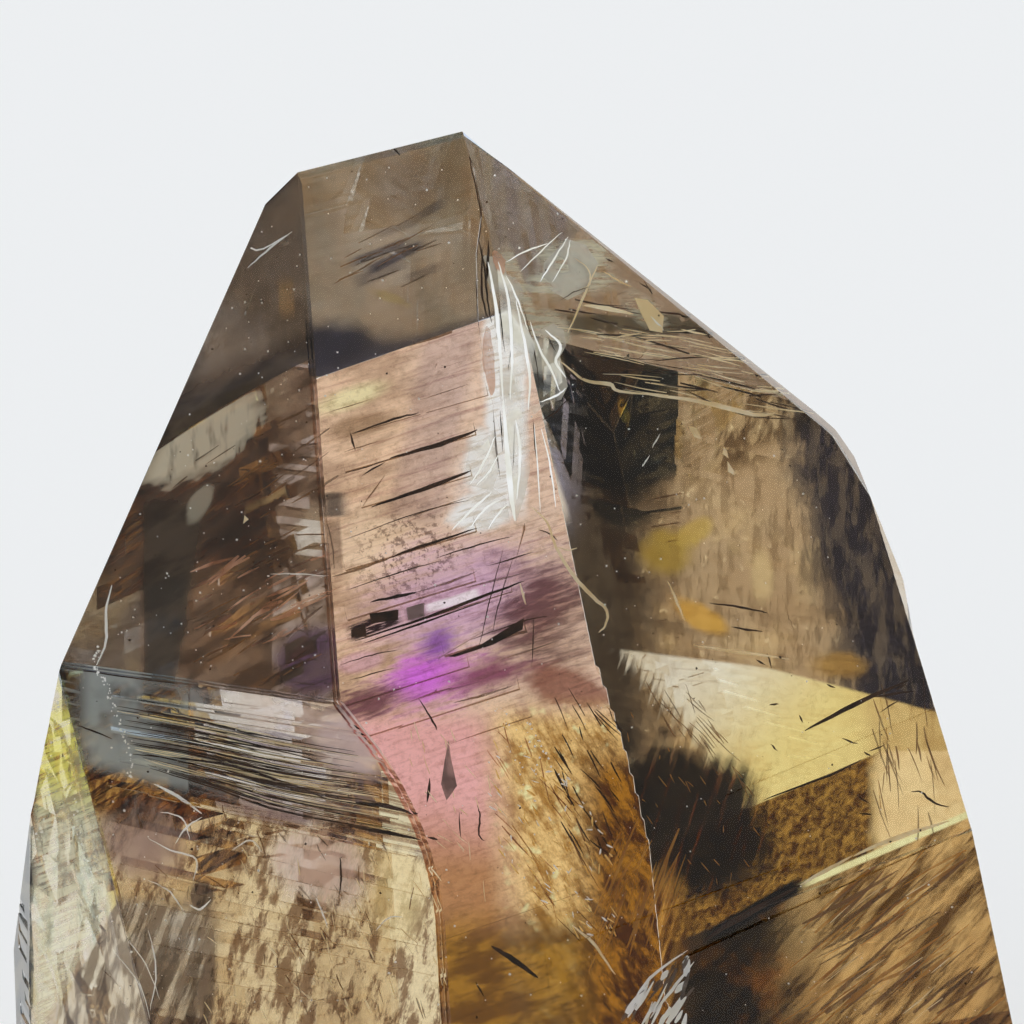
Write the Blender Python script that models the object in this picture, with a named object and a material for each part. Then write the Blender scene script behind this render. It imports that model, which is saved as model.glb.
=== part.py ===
"""A single smoky amethyst point: one quartz crystal that grew as one piece, cut off flat at its foot.

Metres, +Z up. The c-axis of the crystal is vertical. The origin is the middle of the box round the
crystal, on the flat foot. Each face is a plane: the way it looks (azimuth, turned from -Y towards +X),
how steep it is (0 is level, 90 is upright) and how far it has grown from the seed point on the axis.
"""

from collections import namedtuple
from math import atan2, cos, radians, sin
from random import Random

import bmesh
import bpy
from mathutils import Matrix, Vector

MM = 0.001
Face = namedtuple("Face", "azimuth slope distance")  # degrees, degrees, millimetres

SEED_HEIGHT = 22.0  # mm, the seed point above the foot
BLANK_SIDE = 90.0  # mm, the block that the faces are cut from

# The six faces of the tip. They meet in a short ridge, not in a point.
FRONT_RIGHT_TIP = Face(33.6, 49.4, 7.01)
FRONT_LEFT_TIP = Face(-25.0, 47.1, 10.64)
LEFT_TIP = Face(-106.0, 68.0, 12.50)
BACK_LEFT_TIP = Face(212.9, 69.9, 12.10)
BACK_RIGHT_TIP = Face(152.0, 72.0, 12.86)
RIGHT_TIP = Face(88.8, 43.0, 13.77)
RIGHT_CORNER = Face(84.5, 58.0, 13.97)

# The sides. Most lean in a little before they turn upright.
FRONT_LEFT_SIDE = Face(-26.8, 82.1, 10.60)
FRONT_LEFT_FOOT = Face(-26.8, 89.0, 11.55)
LEFT_CORNER_BREAK = Face(-54.7, 89.5, 13.46)
LEFT_SIDE = Face(-75.5, 85.0, 14.91)
LEFT_FOOT = Face(-76.0, 89.5, 16.14)
BACK_LEFT_SIDE = Face(211.4, 89.0, 9.97)
BACK_RIGHT_SIDE = Face(152.0, 90.0, 10.99)
RIGHT_SHOULDER = Face(80.0, 71.8, 13.34)
RIGHT_UPPER_SIDE = Face(83.0, 77.0, 13.58)
RIGHT_LOWER_SIDE = Face(80.5, 81.8, 14.12)
RIGHT_FOOT = Face(81.0, 89.0, 16.13)
FRONT_RIGHT_FOOT = Face(34.2, 89.5, 8.79)

# Between its tip face and its foot, the front right of the crystal rolls over in narrow facets.
ROLL_FACETS = 9
ROLL_LAST_SLOPE = 84.7  # degrees
ROLL_AZIMUTH_TURN = 0.6  # degrees
ROLL_GROWTH = 0.0162  # mm of distance for each degree of slope
ROLL_GROWTH_RISE = 0.00046  # mm for each degree squared

# Growth ledges: shallow ramps across a face, each ending in a small wall.
LEDGE_HEADROOM = 1.2  # mm that a cutter stands above the face
GROWTH_STEP_DEPTH = 0.11  # mm
GROWTH_STEP_FADE = 15.0  # mm down the face over which the step runs out
# The step's wandering edge on the front right tip face, in mm right of the middle and mm up the face.
GROWTH_STEP_EDGE = (
    (5.4, 17.9), (5.1, 16.4), (4.6, 14.8), (4.3, 14.4), (3.6, 13.4),
    (2.4, 11.0), (1.7, 9.1), (1.1, 6.6), (0.1, 3.9),
)
GROWTH_STEP_RIGHT = 17.0  # mm, past the right edge of the face
HOLLOW_BULGE = 0.6  # mm, half the thickness of the lens that cuts a shell-shaped hollow


def face_normal(face):
    azimuth, slope = radians(face.azimuth), radians(face.slope)
    return Vector((sin(slope) * sin(azimuth), -sin(slope) * cos(azimuth), cos(slope)))


def face_frame(face):
    """The matrix from a face's own millimetres (right, up the face, out) to the crystal's metres."""
    normal = face_normal(face)
    right = Vector((cos(radians(face.azimuth)), sin(radians(face.azimuth)), 0.0))
    up = normal.cross(right)
    foot = Vector((0.0, 0.0, SEED_HEIGHT)) + normal * face.distance
    frame = Matrix((right, up, normal)).transposed().to_4x4()
    frame.translation = foot
    return Matrix.Scale(MM, 4) @ frame


def roll_facets():
    """The narrow facets that turn the front right tip face into the upright side below it."""
    first = FRONT_RIGHT_TIP
    for step in range(1, ROLL_FACETS + 1):
        share = step / ROLL_FACETS
        turn = (ROLL_LAST_SLOPE - first.slope) * share
        grown = first.distance + ROLL_GROWTH * turn + ROLL_GROWTH_RISE * turn**2
        yield Face(first.azimuth + ROLL_AZIMUTH_TURN * share, first.slope + turn, grown)


def crystal_faces():
    return [
        FRONT_RIGHT_TIP, FRONT_LEFT_TIP, LEFT_TIP, BACK_LEFT_TIP, BACK_RIGHT_TIP, RIGHT_TIP,
        RIGHT_CORNER, FRONT_LEFT_SIDE, FRONT_LEFT_FOOT, LEFT_CORNER_BREAK, LEFT_SIDE, LEFT_FOOT,
        BACK_LEFT_SIDE, BACK_RIGHT_SIDE, RIGHT_SHOULDER, RIGHT_UPPER_SIDE, RIGHT_LOWER_SIDE,
        RIGHT_FOOT, FRONT_RIGHT_FOOT, *roll_facets(),
    ]


def cut_plane(bm, point, normal):
    """Takes away what lies outside a plane and closes the cut with one flat face."""
    everything = bm.verts[:] + bm.edges[:] + bm.faces[:]
    cut = bmesh.ops.bisect_plane(
        bm, geom=everything, plane_co=point, plane_no=normal, clear_outer=True
    )
    rim = [item for item in cut["geom_cut"] if isinstance(item, bmesh.types.BMEdge)]
    bmesh.ops.edgeloop_fill(bm, edges=rim)


def crystal_mesh():
    bm = bmesh.new()
    bmesh.ops.create_cube(bm, size=BLANK_SIDE * MM)
    cut_plane(bm, Vector((0.0, 0.0, 0.0)), Vector((0.0, 0.0, -1.0)))
    seed = Vector((0.0, 0.0, SEED_HEIGHT))
    for face in crystal_faces():
        normal = face_normal(face)
        cut_plane(bm, (seed + normal * face.distance) * MM, normal)
    bmesh.ops.recalc_face_normals(bm, faces=bm.faces[:])
    mesh = bpy.data.meshes.new("crystal")
    bm.to_mesh(mesh)
    bm.free()
    return mesh


def add_ledge(bm, face, right, up, length, width, depth, lean=0.0):
    """A ramp cut into a face: its wall is at the lower edge and it runs out `width` above it."""
    ramp = atan2(depth, width)
    place = (
        face_frame(face)
        @ Matrix.Translation((right, up, -depth))
        @ Matrix.Rotation(radians(lean), 4, "Z")
        @ Matrix.Rotation(ramp, 4, "X")
        @ Matrix.Translation((0.0, width / 2, LEDGE_HEADROOM / 2))
        @ Matrix.Diagonal((length, width, LEDGE_HEADROOM, 1.0))
    )
    bmesh.ops.create_cube(bm, size=1.0, matrix=place)


def add_pit(bm, face, right, up, radius, depth, spin=0.0):
    """A three-sided etch pit that narrows into the face."""
    place = (
        face_frame(face)
        @ Matrix.Translation((right, up, 0.0))
        @ Matrix.Rotation(radians(spin), 4, "Z")
    )
    bmesh.ops.create_cone(
        bm, cap_ends=True, segments=3, radius1=0.0, radius2=2 * radius, depth=2 * depth,
        matrix=place,
    )


def add_scallop(bm, face, right, up, half_width, half_height, depth, lean=0.0):
    """A shallow shell-shaped hollow, as a knock leaves in glass."""
    place = (
        face_frame(face)
        @ Matrix.Translation((right, up, HOLLOW_BULGE - depth))
        @ Matrix.Rotation(radians(lean), 4, "Z")
        @ Matrix.Diagonal((half_width, half_height, HOLLOW_BULGE, 1.0))
    )
    bmesh.ops.create_icosphere(bm, subdivisions=2, radius=1.0, matrix=place)


def ledge_stack(
    bm, face, seed, top, bottom, left, right, spacing, depth, lean_top, lean_bottom, shortest=0.35
):
    """Ledges one under another from `top` to `bottom`, of uneven length, width and depth."""
    random = Random(seed)
    up = top
    while up > bottom:
        share = (top - up) / (top - bottom)
        width = spacing * random.uniform(0.55, 1.25)
        length = (right - left) * random.uniform(shortest, 1.0)
        middle = random.uniform(left + length / 2, right - length / 2)
        lean = lean_top + (lean_bottom - lean_top) * share + random.uniform(-0.6, 0.6)
        tall = depth * random.uniform(0.6, 1.2)
        add_ledge(bm, face, middle, up - width, length, width, tall, lean)
        up -= width * random.uniform(1.25, 1.9)


def front_left_striae(bm):
    """Close ledges on the front left side. They fan out: the lower ones fall away more to the right."""
    ledge_stack(bm, FRONT_LEFT_SIDE, 3, 2.9, -1.2, -8.2, 3.0, 0.19, 0.05, -2.5, -6.5)
    ledge_stack(bm, FRONT_LEFT_SIDE, 8, -1.6, -6.5, -8.0, 3.6, 0.42, 0.05, -7.0, -3.0, shortest=0.2)
    ledge_stack(bm, FRONT_LEFT_FOOT, 5, -8.0, -20.0, -8.0, 4.2, 0.90, 0.035, -2.0, 0.0, shortest=0.3)


def front_right_ledges(bm):
    """Three growth ledges across the rolled part and low, uneven ones further down."""
    facets = list(roll_facets())
    add_ledge(bm, facets[6], 8.2, -2.9, 9.5, 0.45, 0.06, lean=1.5)
    add_ledge(bm, facets[7], 6.6, -3.9, 8.0, 0.50, 0.06, lean=0.5)
    add_ledge(bm, facets[8], 7.2, -6.4, 12.5, 0.70, 0.09, lean=2.5)
    add_ledge(bm, facets[8], 1.5, -4.9, 9.0, 0.40, 0.04, lean=-1.0)
    ledge_stack(bm, FRONT_RIGHT_FOOT, 21, -9.0, -20.5, -6.5, 12.0, 1.40, 0.03, 1.5, -0.5, shortest=0.3)


def back_left_ledges(bm):
    """Level growth ledges on the back left side, where each one began and ended."""
    ledges = (  # right, up, length, width, depth
        (-2.3, 5.60, 5.4, 0.55, 0.030), (-1.6, 4.20, 5.2, 0.60, 0.060), (-1.5, 2.65, 4.4, 0.55, 0.055),
        (-0.8, 0.42, 5.2, 0.70, 0.060), (-0.4, -1.50, 5.1, 0.60, 0.080), (-1.3, -2.35, 5.9, 0.45, 0.050),
        (-2.8, -4.05, 3.3, 0.80, 0.100), (0.5, -4.75, 5.0, 0.50, 0.060), (-0.6, -6.20, 6.2, 0.70, 0.050),
        (4.2, 3.45, 3.4, 0.90, 0.030), (5.3, 1.70, 3.6, 0.90, 0.030), (4.4, -0.60, 3.0, 0.90, 0.030),
        (5.6, -2.70, 4.2, 0.90, 0.035),
    )
    for right, up, length, width, depth in ledges:
        add_ledge(bm, BACK_LEFT_SIDE, right, up, length, width, depth)
    ledge_stack(bm, BACK_LEFT_SIDE, 33, -7.4, -20.5, -6.0, 4.4, 1.50, 0.03, 0.3, -0.3, shortest=0.3)
    ledge_stack(bm, BACK_LEFT_SIDE, 52, -8.6, -20.2, 5.8, 12.4, 1.60, 0.03, 0.3, -0.3, shortest=0.3)


def side_ledges(bm):
    """Level striae on the other sides that face away."""
    ledge_stack(bm, LEFT_SIDE, 31, -6.0, -12.5, -5.0, -2.6, 0.5, 0.05, 2.0, 0.0)
    ledge_stack(bm, LEFT_FOOT, 32, -15.0, -20.5, -5.5, -4.5, 0.8, 0.05, 1.0, 0.0)
    ledge_stack(bm, BACK_RIGHT_SIDE, 45, 5.0, -20.5, -7.4, 4.2, 1.70, 0.025, -1.0, 0.5, shortest=0.3)
    ledge_stack(bm, RIGHT_UPPER_SIDE, 35, -0.8, -7.0, 2.4, 5.6, 0.5, 0.04, 1.5, 0.0)
    ledge_stack(bm, RIGHT_LOWER_SIDE, 36, -9.5, -14.5, 2.9, 6.0, 0.6, 0.05, 0.0, 0.5)
    ledge_stack(bm, RIGHT_FOOT, 37, -15.5, -20.5, 3.5, 5.6, 0.8, 0.06, 0.5, -0.5)


def tip_ledges(bm):
    """Long, thin steps along the narrow right tip face and low plates on the hidden tip faces."""
    edge_lean = 52.0  # degrees, the way of the edge between the two right-hand tip faces
    for across, length in ((-0.25, 9.0), (0.45, 11.0), (1.15, 8.0)):
        up = 5.6 + 0.4 * across
        add_ledge(bm, RIGHT_TIP, -1.9 + across, up, length, 0.45, 0.03, lean=-edge_lean)
    ledge_stack(bm, BACK_LEFT_TIP, 41, 12.5, 5.5, -4.8, 2.4, 1.9, 0.03, 8.0, 0.0, shortest=0.4)
    ledge_stack(bm, BACK_RIGHT_TIP, 42, 9.5, 4.5, -3.6, 4.2, 1.5, 0.03, -6.0, 0.0, shortest=0.4)
    ledge_stack(bm, LEFT_TIP, 43, 5.5, 0.0, -1.2, 3.6, 1.4, 0.03, 10.0, 4.0, shortest=0.4)


def corner_break(bm):
    """The left corner has been knocked off along its height: overlapping shell-shaped hollows."""
    hollows = (
        (-4.6, 1.9, 1.5, 2.4, 0.12, 14.0), (-5.6, -0.6, 2.0, 2.8, 0.17, -10.0),
        (-3.6, -2.0, 1.7, 2.7, 0.15, 16.0), (-6.1, -3.9, 2.3, 3.0, 0.20, -14.0),
        (-3.4, -5.2, 2.2, 2.7, 0.16, 8.0), (-6.7, -7.6, 2.5, 3.4, 0.22, 10.0),
        (-3.6, -8.9, 2.6, 3.0, 0.18, -12.0), (-7.1, -11.6, 2.7, 3.6, 0.22, -4.0),
        (-3.9, -13.0, 2.9, 3.2, 0.18, 12.0), (-7.0, -15.8, 2.8, 3.4, 0.20, 9.0),
        (-3.6, -17.2, 2.8, 3.2, 0.16, -6.0),
    )
    for right, up, half_width, half_height, depth, lean in hollows:
        add_scallop(bm, LEFT_CORNER_BREAK, right, up, half_width, half_height, depth, lean)


def ridge_chips(bm):
    """Small breaks along the ridge and the tip's edges."""
    chips = ((2.55, 17.95, 0.30, 20.0), (2.95, 18.0, 0.34, 50.0), (3.35, 17.98, 0.22, 5.0))
    for right, up, size, spin in chips:
        place = (
            face_frame(FRONT_RIGHT_TIP)
            @ Matrix.Translation((right, up, 0.05))
            @ Matrix.Rotation(radians(spin), 4, "Z")
            @ Matrix.Rotation(radians(35.0), 4, "X")
        )
        bmesh.ops.create_cube(bm, size=size, matrix=place)


def etch_pits(bm):
    """Small three-sided pits, scattered and all turned the same way on each face."""
    random = Random(17)
    scattered = (
        (FRONT_RIGHT_TIP, 8, (-6.5, 10.5), (0.5, 10.0)),
        (FRONT_LEFT_TIP, 6, (-8.0, -1.0), (-1.5, 11.0)),
        (BACK_LEFT_SIDE, 6, (-9.0, 5.0), (-18.0, 5.0)),
        (BACK_RIGHT_SIDE, 6, (-3.0, 8.0), (-18.0, 4.0)),
    )
    for face, count, across, up in scattered:
        for _ in range(count):
            size = random.uniform(0.07, 0.15)
            place = (random.uniform(*across), random.uniform(*up))
            add_pit(bm, face, *place, size, size * 0.6, spin=30.0)


def growth_step_solid():
    """What the growth step takes away: a thin wedge of the front right tip face, right of the step."""
    outline = bpy.data.curves.new("growth_step", "CURVE")
    outline.dimensions = "2D"
    outline.fill_mode = "BOTH"
    outline.extrude = LEDGE_HEADROOM / 2
    top = GROWTH_STEP_EDGE[0][1]
    low = GROWTH_STEP_EDGE[-1][1]
    far_side = [(GROWTH_STEP_RIGHT, low - 2.0), (GROWTH_STEP_RIGHT, top + 2.0)]
    points = [(4.9, top + 2.0), *GROWTH_STEP_EDGE, *far_side]
    spline = outline.splines.new("POLY")
    spline.points.add(len(points) - 1)
    for point, (right, up) in zip(spline.points, points):
        point.co = (right, up - low, 0.0, 1.0)
    spline.use_cyclic_u = True
    shape = bpy.data.objects.new("growth_step_outline", outline)
    bpy.context.scene.collection.objects.link(shape)
    bpy.context.view_layer.update()
    graph = bpy.context.evaluated_depsgraph_get()
    mesh = bpy.data.meshes.new_from_object(shape.evaluated_get(graph))
    bpy.data.objects.remove(shape)
    bm = bmesh.new()
    bm.from_mesh(mesh)
    bmesh.ops.remove_doubles(bm, verts=bm.verts[:], dist=0.0001)
    ramp = -atan2(GROWTH_STEP_DEPTH, GROWTH_STEP_FADE)
    place = (
        face_frame(FRONT_RIGHT_TIP)
        @ Matrix.Translation((0.0, low, 0.0))
        @ Matrix.Rotation(ramp, 4, "X")
        @ Matrix.Translation((0.0, 0.0, LEDGE_HEADROOM / 2))
    )
    bmesh.ops.transform(bm, matrix=place, verts=bm.verts[:])
    bmesh.ops.recalc_face_normals(bm, faces=bm.faces[:])
    bm.to_mesh(mesh)
    bm.free()
    return mesh


def cutter_mesh(name, *builders):
    bm = bmesh.new()
    for builder in builders:
        builder(bm)
    bmesh.ops.recalc_face_normals(bm, faces=bm.faces[:])
    mesh = bpy.data.meshes.new(name)
    bm.to_mesh(mesh)
    bm.free()
    return mesh


def quartz_material():
    """Smoky quartz with a breath of violet, clear and polished by growth."""
    material = bpy.data.materials.new("smoky_amethyst")
    material.use_nodes = True
    shader = material.node_tree.nodes["Principled BSDF"]
    shader.inputs["Base Color"].default_value = (0.80, 0.70, 0.62, 1.0)
    shader.inputs["Roughness"].default_value = 0.03
    shader.inputs["Metallic"].default_value = 0.0
    shader.inputs["IOR"].default_value = 1.544
    shader.inputs["Transmission Weight"].default_value = 1.0
    return material


def new_collection(name, hidden=False):
    collection = bpy.data.collections.new(name)
    bpy.context.scene.collection.children.link(collection)
    collection.hide_render = hidden
    return collection


def main():
    for item in list(bpy.data.objects):
        bpy.data.objects.remove(item)
    parts = new_collection("amethyst_crystal")
    cutters = new_collection("cutters", hidden=True)

    crystal = bpy.data.objects.new("crystal", crystal_mesh())
    crystal.data.materials.append(quartz_material())
    parts.objects.link(crystal)

    cuts = {
        "growth_step": growth_step_solid(),
        "front_left_striae": cutter_mesh("front_left_striae", front_left_striae),
        "front_right_ledges": cutter_mesh("front_right_ledges", front_right_ledges),
        "side_ledges": cutter_mesh("side_ledges", back_left_ledges, side_ledges),
        "tip_ledges": cutter_mesh("tip_ledges", tip_ledges),
        "corner_break": cutter_mesh("corner_break", corner_break),
        "chips_and_pits": cutter_mesh("chips_and_pits", ridge_chips, etch_pits),
    }
    for name, mesh in cuts.items():
        cutter = bpy.data.objects.new(name, mesh)
        cutter.hide_render = True
        cutter.display_type = "WIRE"
        cutters.objects.link(cutter)
        cut = crystal.modifiers.new(name, "BOOLEAN")
        cut.operation = "DIFFERENCE"
        cut.solver = "EXACT"
        cut.use_self = True
        cut.object = cutter


main()
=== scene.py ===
from collections import namedtuple
from math import cos, hypot, radians, sin, tan
from random import Random

import bmesh
import bpy
import numpy as np
from mathutils import Matrix, Vector


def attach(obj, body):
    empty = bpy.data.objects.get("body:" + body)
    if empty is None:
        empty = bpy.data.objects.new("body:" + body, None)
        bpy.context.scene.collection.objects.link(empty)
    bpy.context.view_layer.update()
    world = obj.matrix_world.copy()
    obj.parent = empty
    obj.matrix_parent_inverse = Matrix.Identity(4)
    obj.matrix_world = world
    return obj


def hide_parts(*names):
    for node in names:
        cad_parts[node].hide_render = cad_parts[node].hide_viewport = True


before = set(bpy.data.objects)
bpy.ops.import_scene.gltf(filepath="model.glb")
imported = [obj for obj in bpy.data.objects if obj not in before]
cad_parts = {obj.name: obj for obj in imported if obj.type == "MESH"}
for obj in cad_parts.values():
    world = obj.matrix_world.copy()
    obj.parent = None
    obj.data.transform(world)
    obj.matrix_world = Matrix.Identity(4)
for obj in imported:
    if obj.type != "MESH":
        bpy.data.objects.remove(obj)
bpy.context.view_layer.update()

# The crystal's faces are those of part.py, in millimetres from its seed point.
MM = 0.001
SEED = Vector((0.0, 0.0, 22.0))
Face = namedtuple("Face", "azimuth slope distance")
FACES = {
    "front_right_tip": Face(33.6, 49.4, 7.01),
    "front_left_tip": Face(-25.0, 47.1, 10.64),
    "left_tip": Face(-106.0, 68.0, 12.50),
    "back_left_tip": Face(212.9, 69.9, 12.10),
    "back_right_tip": Face(152.0, 72.0, 12.86),
    "right_tip": Face(88.8, 43.0, 13.77),
    "right_corner": Face(84.5, 58.0, 13.97),
    "front_left_side": Face(-26.8, 82.1, 10.60),
    "front_left_foot": Face(-26.8, 89.0, 11.55),
    "left_corner": Face(-54.7, 89.5, 13.46),
    "left_side": Face(-75.5, 85.0, 14.91),
    "left_foot": Face(-76.0, 89.5, 16.14),
    "back_left_side": Face(211.4, 89.0, 9.97),
    "back_right_side": Face(152.0, 90.0, 10.99),
    "right_shoulder": Face(80.0, 71.8, 13.34),
    "right_upper_side": Face(83.0, 77.0, 13.58),
    "right_lower_side": Face(80.5, 81.8, 14.12),
    "right_foot": Face(81.0, 89.0, 16.13),
    "front_right_foot": Face(34.2, 89.5, 8.79),
    "foot": Face(0.0, 180.0, 22.0),
}
# The front rolls over from the tip's slope to the foot's in nine narrow facets.
FACETS = 9
ROLLED = [f"roll_{step}" for step in range(1, FACETS + 1)]
for step, name in enumerate(ROLLED, 1):
    turn = (84.7 - 49.4) * step / FACETS
    FACES[name] = Face(33.6 + 0.6 * step / FACETS, 49.4 + turn, 7.01 + 0.0162 * turn + 0.00046 * turn**2)


def normal(name):
    a, s = radians(FACES[name].azimuth), radians(FACES[name].slope)
    return Vector((sin(s) * sin(a), -sin(s) * cos(a), cos(s)))


def axes(name):
    a = radians(FACES[name].azimuth)
    n = normal(name)
    right = Vector((cos(a), sin(a), 0.0))
    return right, n.cross(right), n


def on_face(name, u, v, depth=0.0):
    """A point in mm: u right and v up on the face, `depth` under it."""
    right, up, n = axes(name)
    return SEED + n * (FACES[name].distance - depth) + right * u + up * v


def shrunk_polygon(name, depth, margin):
    """The face's outline `depth` under it, kept `margin` inside every other face, as (u, v) points."""
    right, up, _ = axes(name)
    origin = on_face(name, 0, 0, depth) - SEED
    size = 60.0  # mm, well past the crystal
    poly = [(-size, -size), (size, -size), (size, size), (-size, size)]
    for other in FACES:
        if other == name:
            continue
        m = normal(other)
        a, b = m.dot(right), m.dot(up)
        c = FACES[other].distance - margin - m.dot(origin)
        out = []
        for (u0, v0), (u1, v1) in zip(poly, poly[1:] + poly[:1]):
            d0, d1 = a * u0 + b * v0 - c, a * u1 + b * v1 - c
            if d0 <= 0:
                out.append((u0, v0))
            if d0 * d1 < 0:
                t = d0 / (d0 - d1)
                out.append((u0 + (u1 - u0) * t, v0 + (v1 - v0) * t))
        poly = out
        if not poly:
            break
    return poly


scene = bpy.context.scene
scene.view_settings.view_transform = "Standard"
scene.view_settings.look = "None"
scene.cycles.max_bounces = 11
scene.cycles.transmission_bounces = 11
scene.cycles.glossy_bounces = 10
scene.cycles.diffuse_bounces = 2
scene.cycles.transparent_max_bounces = 40
scene.cycles.volume_bounces = 0
scene.cycles.sample_clamp_indirect = 4.0
scene.cycles.blur_glossy = 0.0

# The camera stands where the photograph was taken from.
IOR = 1.544
TARGET = Vector((1.517, -1.838, 30.0))  # mm
ELEVATION, ROLL, FIELD = radians(19.2), radians(5.2), radians(12.0)
HALF_FIELD = tan(FIELD / 2)
HALF_VIEW = 16.384  # mm that half of the picture spans at the target
HALF_PHOTO = 512  # pixels
DISTANCE = HALF_VIEW / HALF_FIELD
AHEAD = Vector((0.0, cos(ELEVATION), -sin(ELEVATION)))
LEVEL = Vector((1.0, 0.0, 0.0))
RISE = Vector((0.0, sin(ELEVATION), cos(ELEVATION)))
VIEW_RIGHT = LEVEL * cos(ROLL) - RISE * sin(ROLL)
VIEW_UP = RISE * cos(ROLL) + LEVEL * sin(ROLL)
EYE = TARGET - AHEAD * DISTANCE


def add_camera():
    data = bpy.data.cameras.new("camera")
    data.sensor_width = 36.0
    data.lens = data.sensor_width / 2 / HALF_FIELD
    data.clip_start = 0.01
    camera = bpy.data.objects.new("camera", data)
    place = Matrix((VIEW_RIGHT, VIEW_UP, -AHEAD)).transposed().to_4x4()
    place.translation = EYE * MM
    camera.matrix_world = place
    scene.collection.objects.link(camera)
    scene.camera = camera


add_camera()

world = bpy.data.worlds.new("studio")
world.use_nodes = True
world.node_tree.nodes["Background"].inputs["Color"].default_value = (0.836, 0.855, 0.871, 1)
world.node_tree.nodes["Background"].inputs["Strength"].default_value = 1.04
scene.world = world

# ---------------------------------------------------------------- where a pixel's ray goes
# Every feature inside the crystal is placed by the pixel of the photograph that shows it: its
# ray is bent at the face that it enters by, and followed to the depth that the feature lies at.

CAD_PLANES = {name: (normal(name), normal(name).dot(SEED) + FACES[name].distance) for name in FACES}
PLANES = dict(CAD_PLANES)
# In the glass the faces at the right are turned about their far edges until a pixel near them sees them
# nearly edge-on. That takes the glass up to 0.65 mm off the CAD's surface.
EDGE_ON = 0.004  # the cosine that they are seen at
TURNED = {
    "right_shoulder": (855, 455), "right_upper_side": (890, 600),
    "right_lower_side": (940, 780), "right_foot": (1000, 1000),
}


def ray_through(px, py):
    """The direction in which the camera sees a pixel of the photograph."""
    across, up = (px - HALF_PHOTO) / HALF_PHOTO * HALF_FIELD, (HALF_PHOTO - py) / HALF_PHOTO * HALF_FIELD
    return (AHEAD + VIEW_RIGHT * across + VIEW_UP * up).normalized()


far_n, far_reach = CAD_PLANES["back_right_side"]
for name, pixel in TURNED.items():
    ray = ray_through(*pixel)
    n, reach = CAD_PLANES[name]
    share = (EDGE_ON - n.dot(ray)) / far_n.dot(ray)
    span = (n + far_n * share).length
    PLANES[name] = (n + far_n * share) / span, (reach + far_reach * share) / span

ROOM = 0.6  # share of the way to the next face that a place may go


def bent(px, py):
    """The face a pixel's ray enters by, the place in mm, and its direction inside the crystal."""
    ray = ray_through(px, py)
    best, face = None, None
    for name, (n, reach) in PLANES.items():
        facing = ray.dot(n)
        if facing >= 0:
            continue
        far = (reach - n.dot(EYE)) / facing
        if best is None or far > best:
            best, face = far, name
    n = PLANES[face][0]
    cosine = -ray.dot(n)
    inner = ray / IOR + n * (cosine / IOR - (1 - (1 - cosine * cosine) / IOR**2) ** 0.5)
    return face, EYE + ray * best, inner


def under(depth):
    """Maps a pixel to the place `depth` mm under the face that its ray enters by. Below 0 is outside."""
    def place(px, py):
        face, point, inner = bent(px, py)
        ahead = [(n, reach) for n, reach in PLANES.values() if n.dot(inner) > 1e-6]
        room = min((reach - n.dot(point)) / n.dot(inner) for n, reach in ahead)
        return point + inner * min(depth / -inner.dot(PLANES[face][0]), ROOM * max(room, 0.0))
    return place


NAMES = list(PLANES)
NORMALS = np.array([PLANES[name][0][:] for name in NAMES])
REACHES = np.array([PLANES[name][1] for name in NAMES])


def crossed(px, py):
    """For arrays of pixels, where their rays cross the crystal.

    Gives the faces they enter by and meet next (-1 for a miss), the place of entry in mm, the direction
    inside and the length inside.
    """
    across = (px - HALF_PHOTO)[:, None] / HALF_PHOTO * HALF_FIELD
    up = (HALF_PHOTO - py)[:, None] / HALF_PHOTO * HALF_FIELD
    rays = np.array(AHEAD) + np.array(VIEW_RIGHT) * across + np.array(VIEW_UP) * up
    rays /= np.linalg.norm(rays, axis=1)[:, None]
    facing = rays @ NORMALS.T
    far = (REACHES - NORMALS @ np.array(EYE)) / facing
    nearest = np.where(facing < 0, far, -1e9)
    enter = nearest.argmax(1)
    reach = nearest.max(1)
    missed = reach > np.where(facing > 0, far, 1e9).min(1)
    point = np.array(EYE) + rays * reach[:, None]
    n = NORMALS[enter]
    cosine = -(rays * n).sum(1)
    inner = rays / IOR + n * (cosine / IOR - np.sqrt(1 - (1 - cosine**2) / IOR**2))[:, None]
    facing = inner @ NORMALS.T
    far = np.where(facing > 1e-9, (REACHES - point @ NORMALS.T) / np.where(facing > 1e-9, facing, 1), 1e9)
    return np.where(missed, -1, enter), np.where(missed, -1, far.argmin(1)), point, inner, far.min(1)


# ---------------------------------------------------------------- materials


def rgb(r, g, b):
    """An sRGB colour of 0 to 255 as the numbers Blender wants."""
    return tuple(c / 255 / 12.92 if c <= 10 else ((c / 255 + 0.055) / 1.055) ** 2.4 for c in (r, g, b))


GLOSS = 0.012  # the surface's own gloss, which lies over all
BARE_GLOSS = 0.0365  # the gloss that the bare crystal's looks were measured with
MIX_SOCKETS, MIX_RESULT = (0, 6, 7), 2  # a colour mix node's factor, A and B, and its result
PHOTO_END = 10.24, 10.48  # hundreds of pixels, where the linings fade out below the photograph
FADED = (0.96, 0.94, 0.90)


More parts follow.
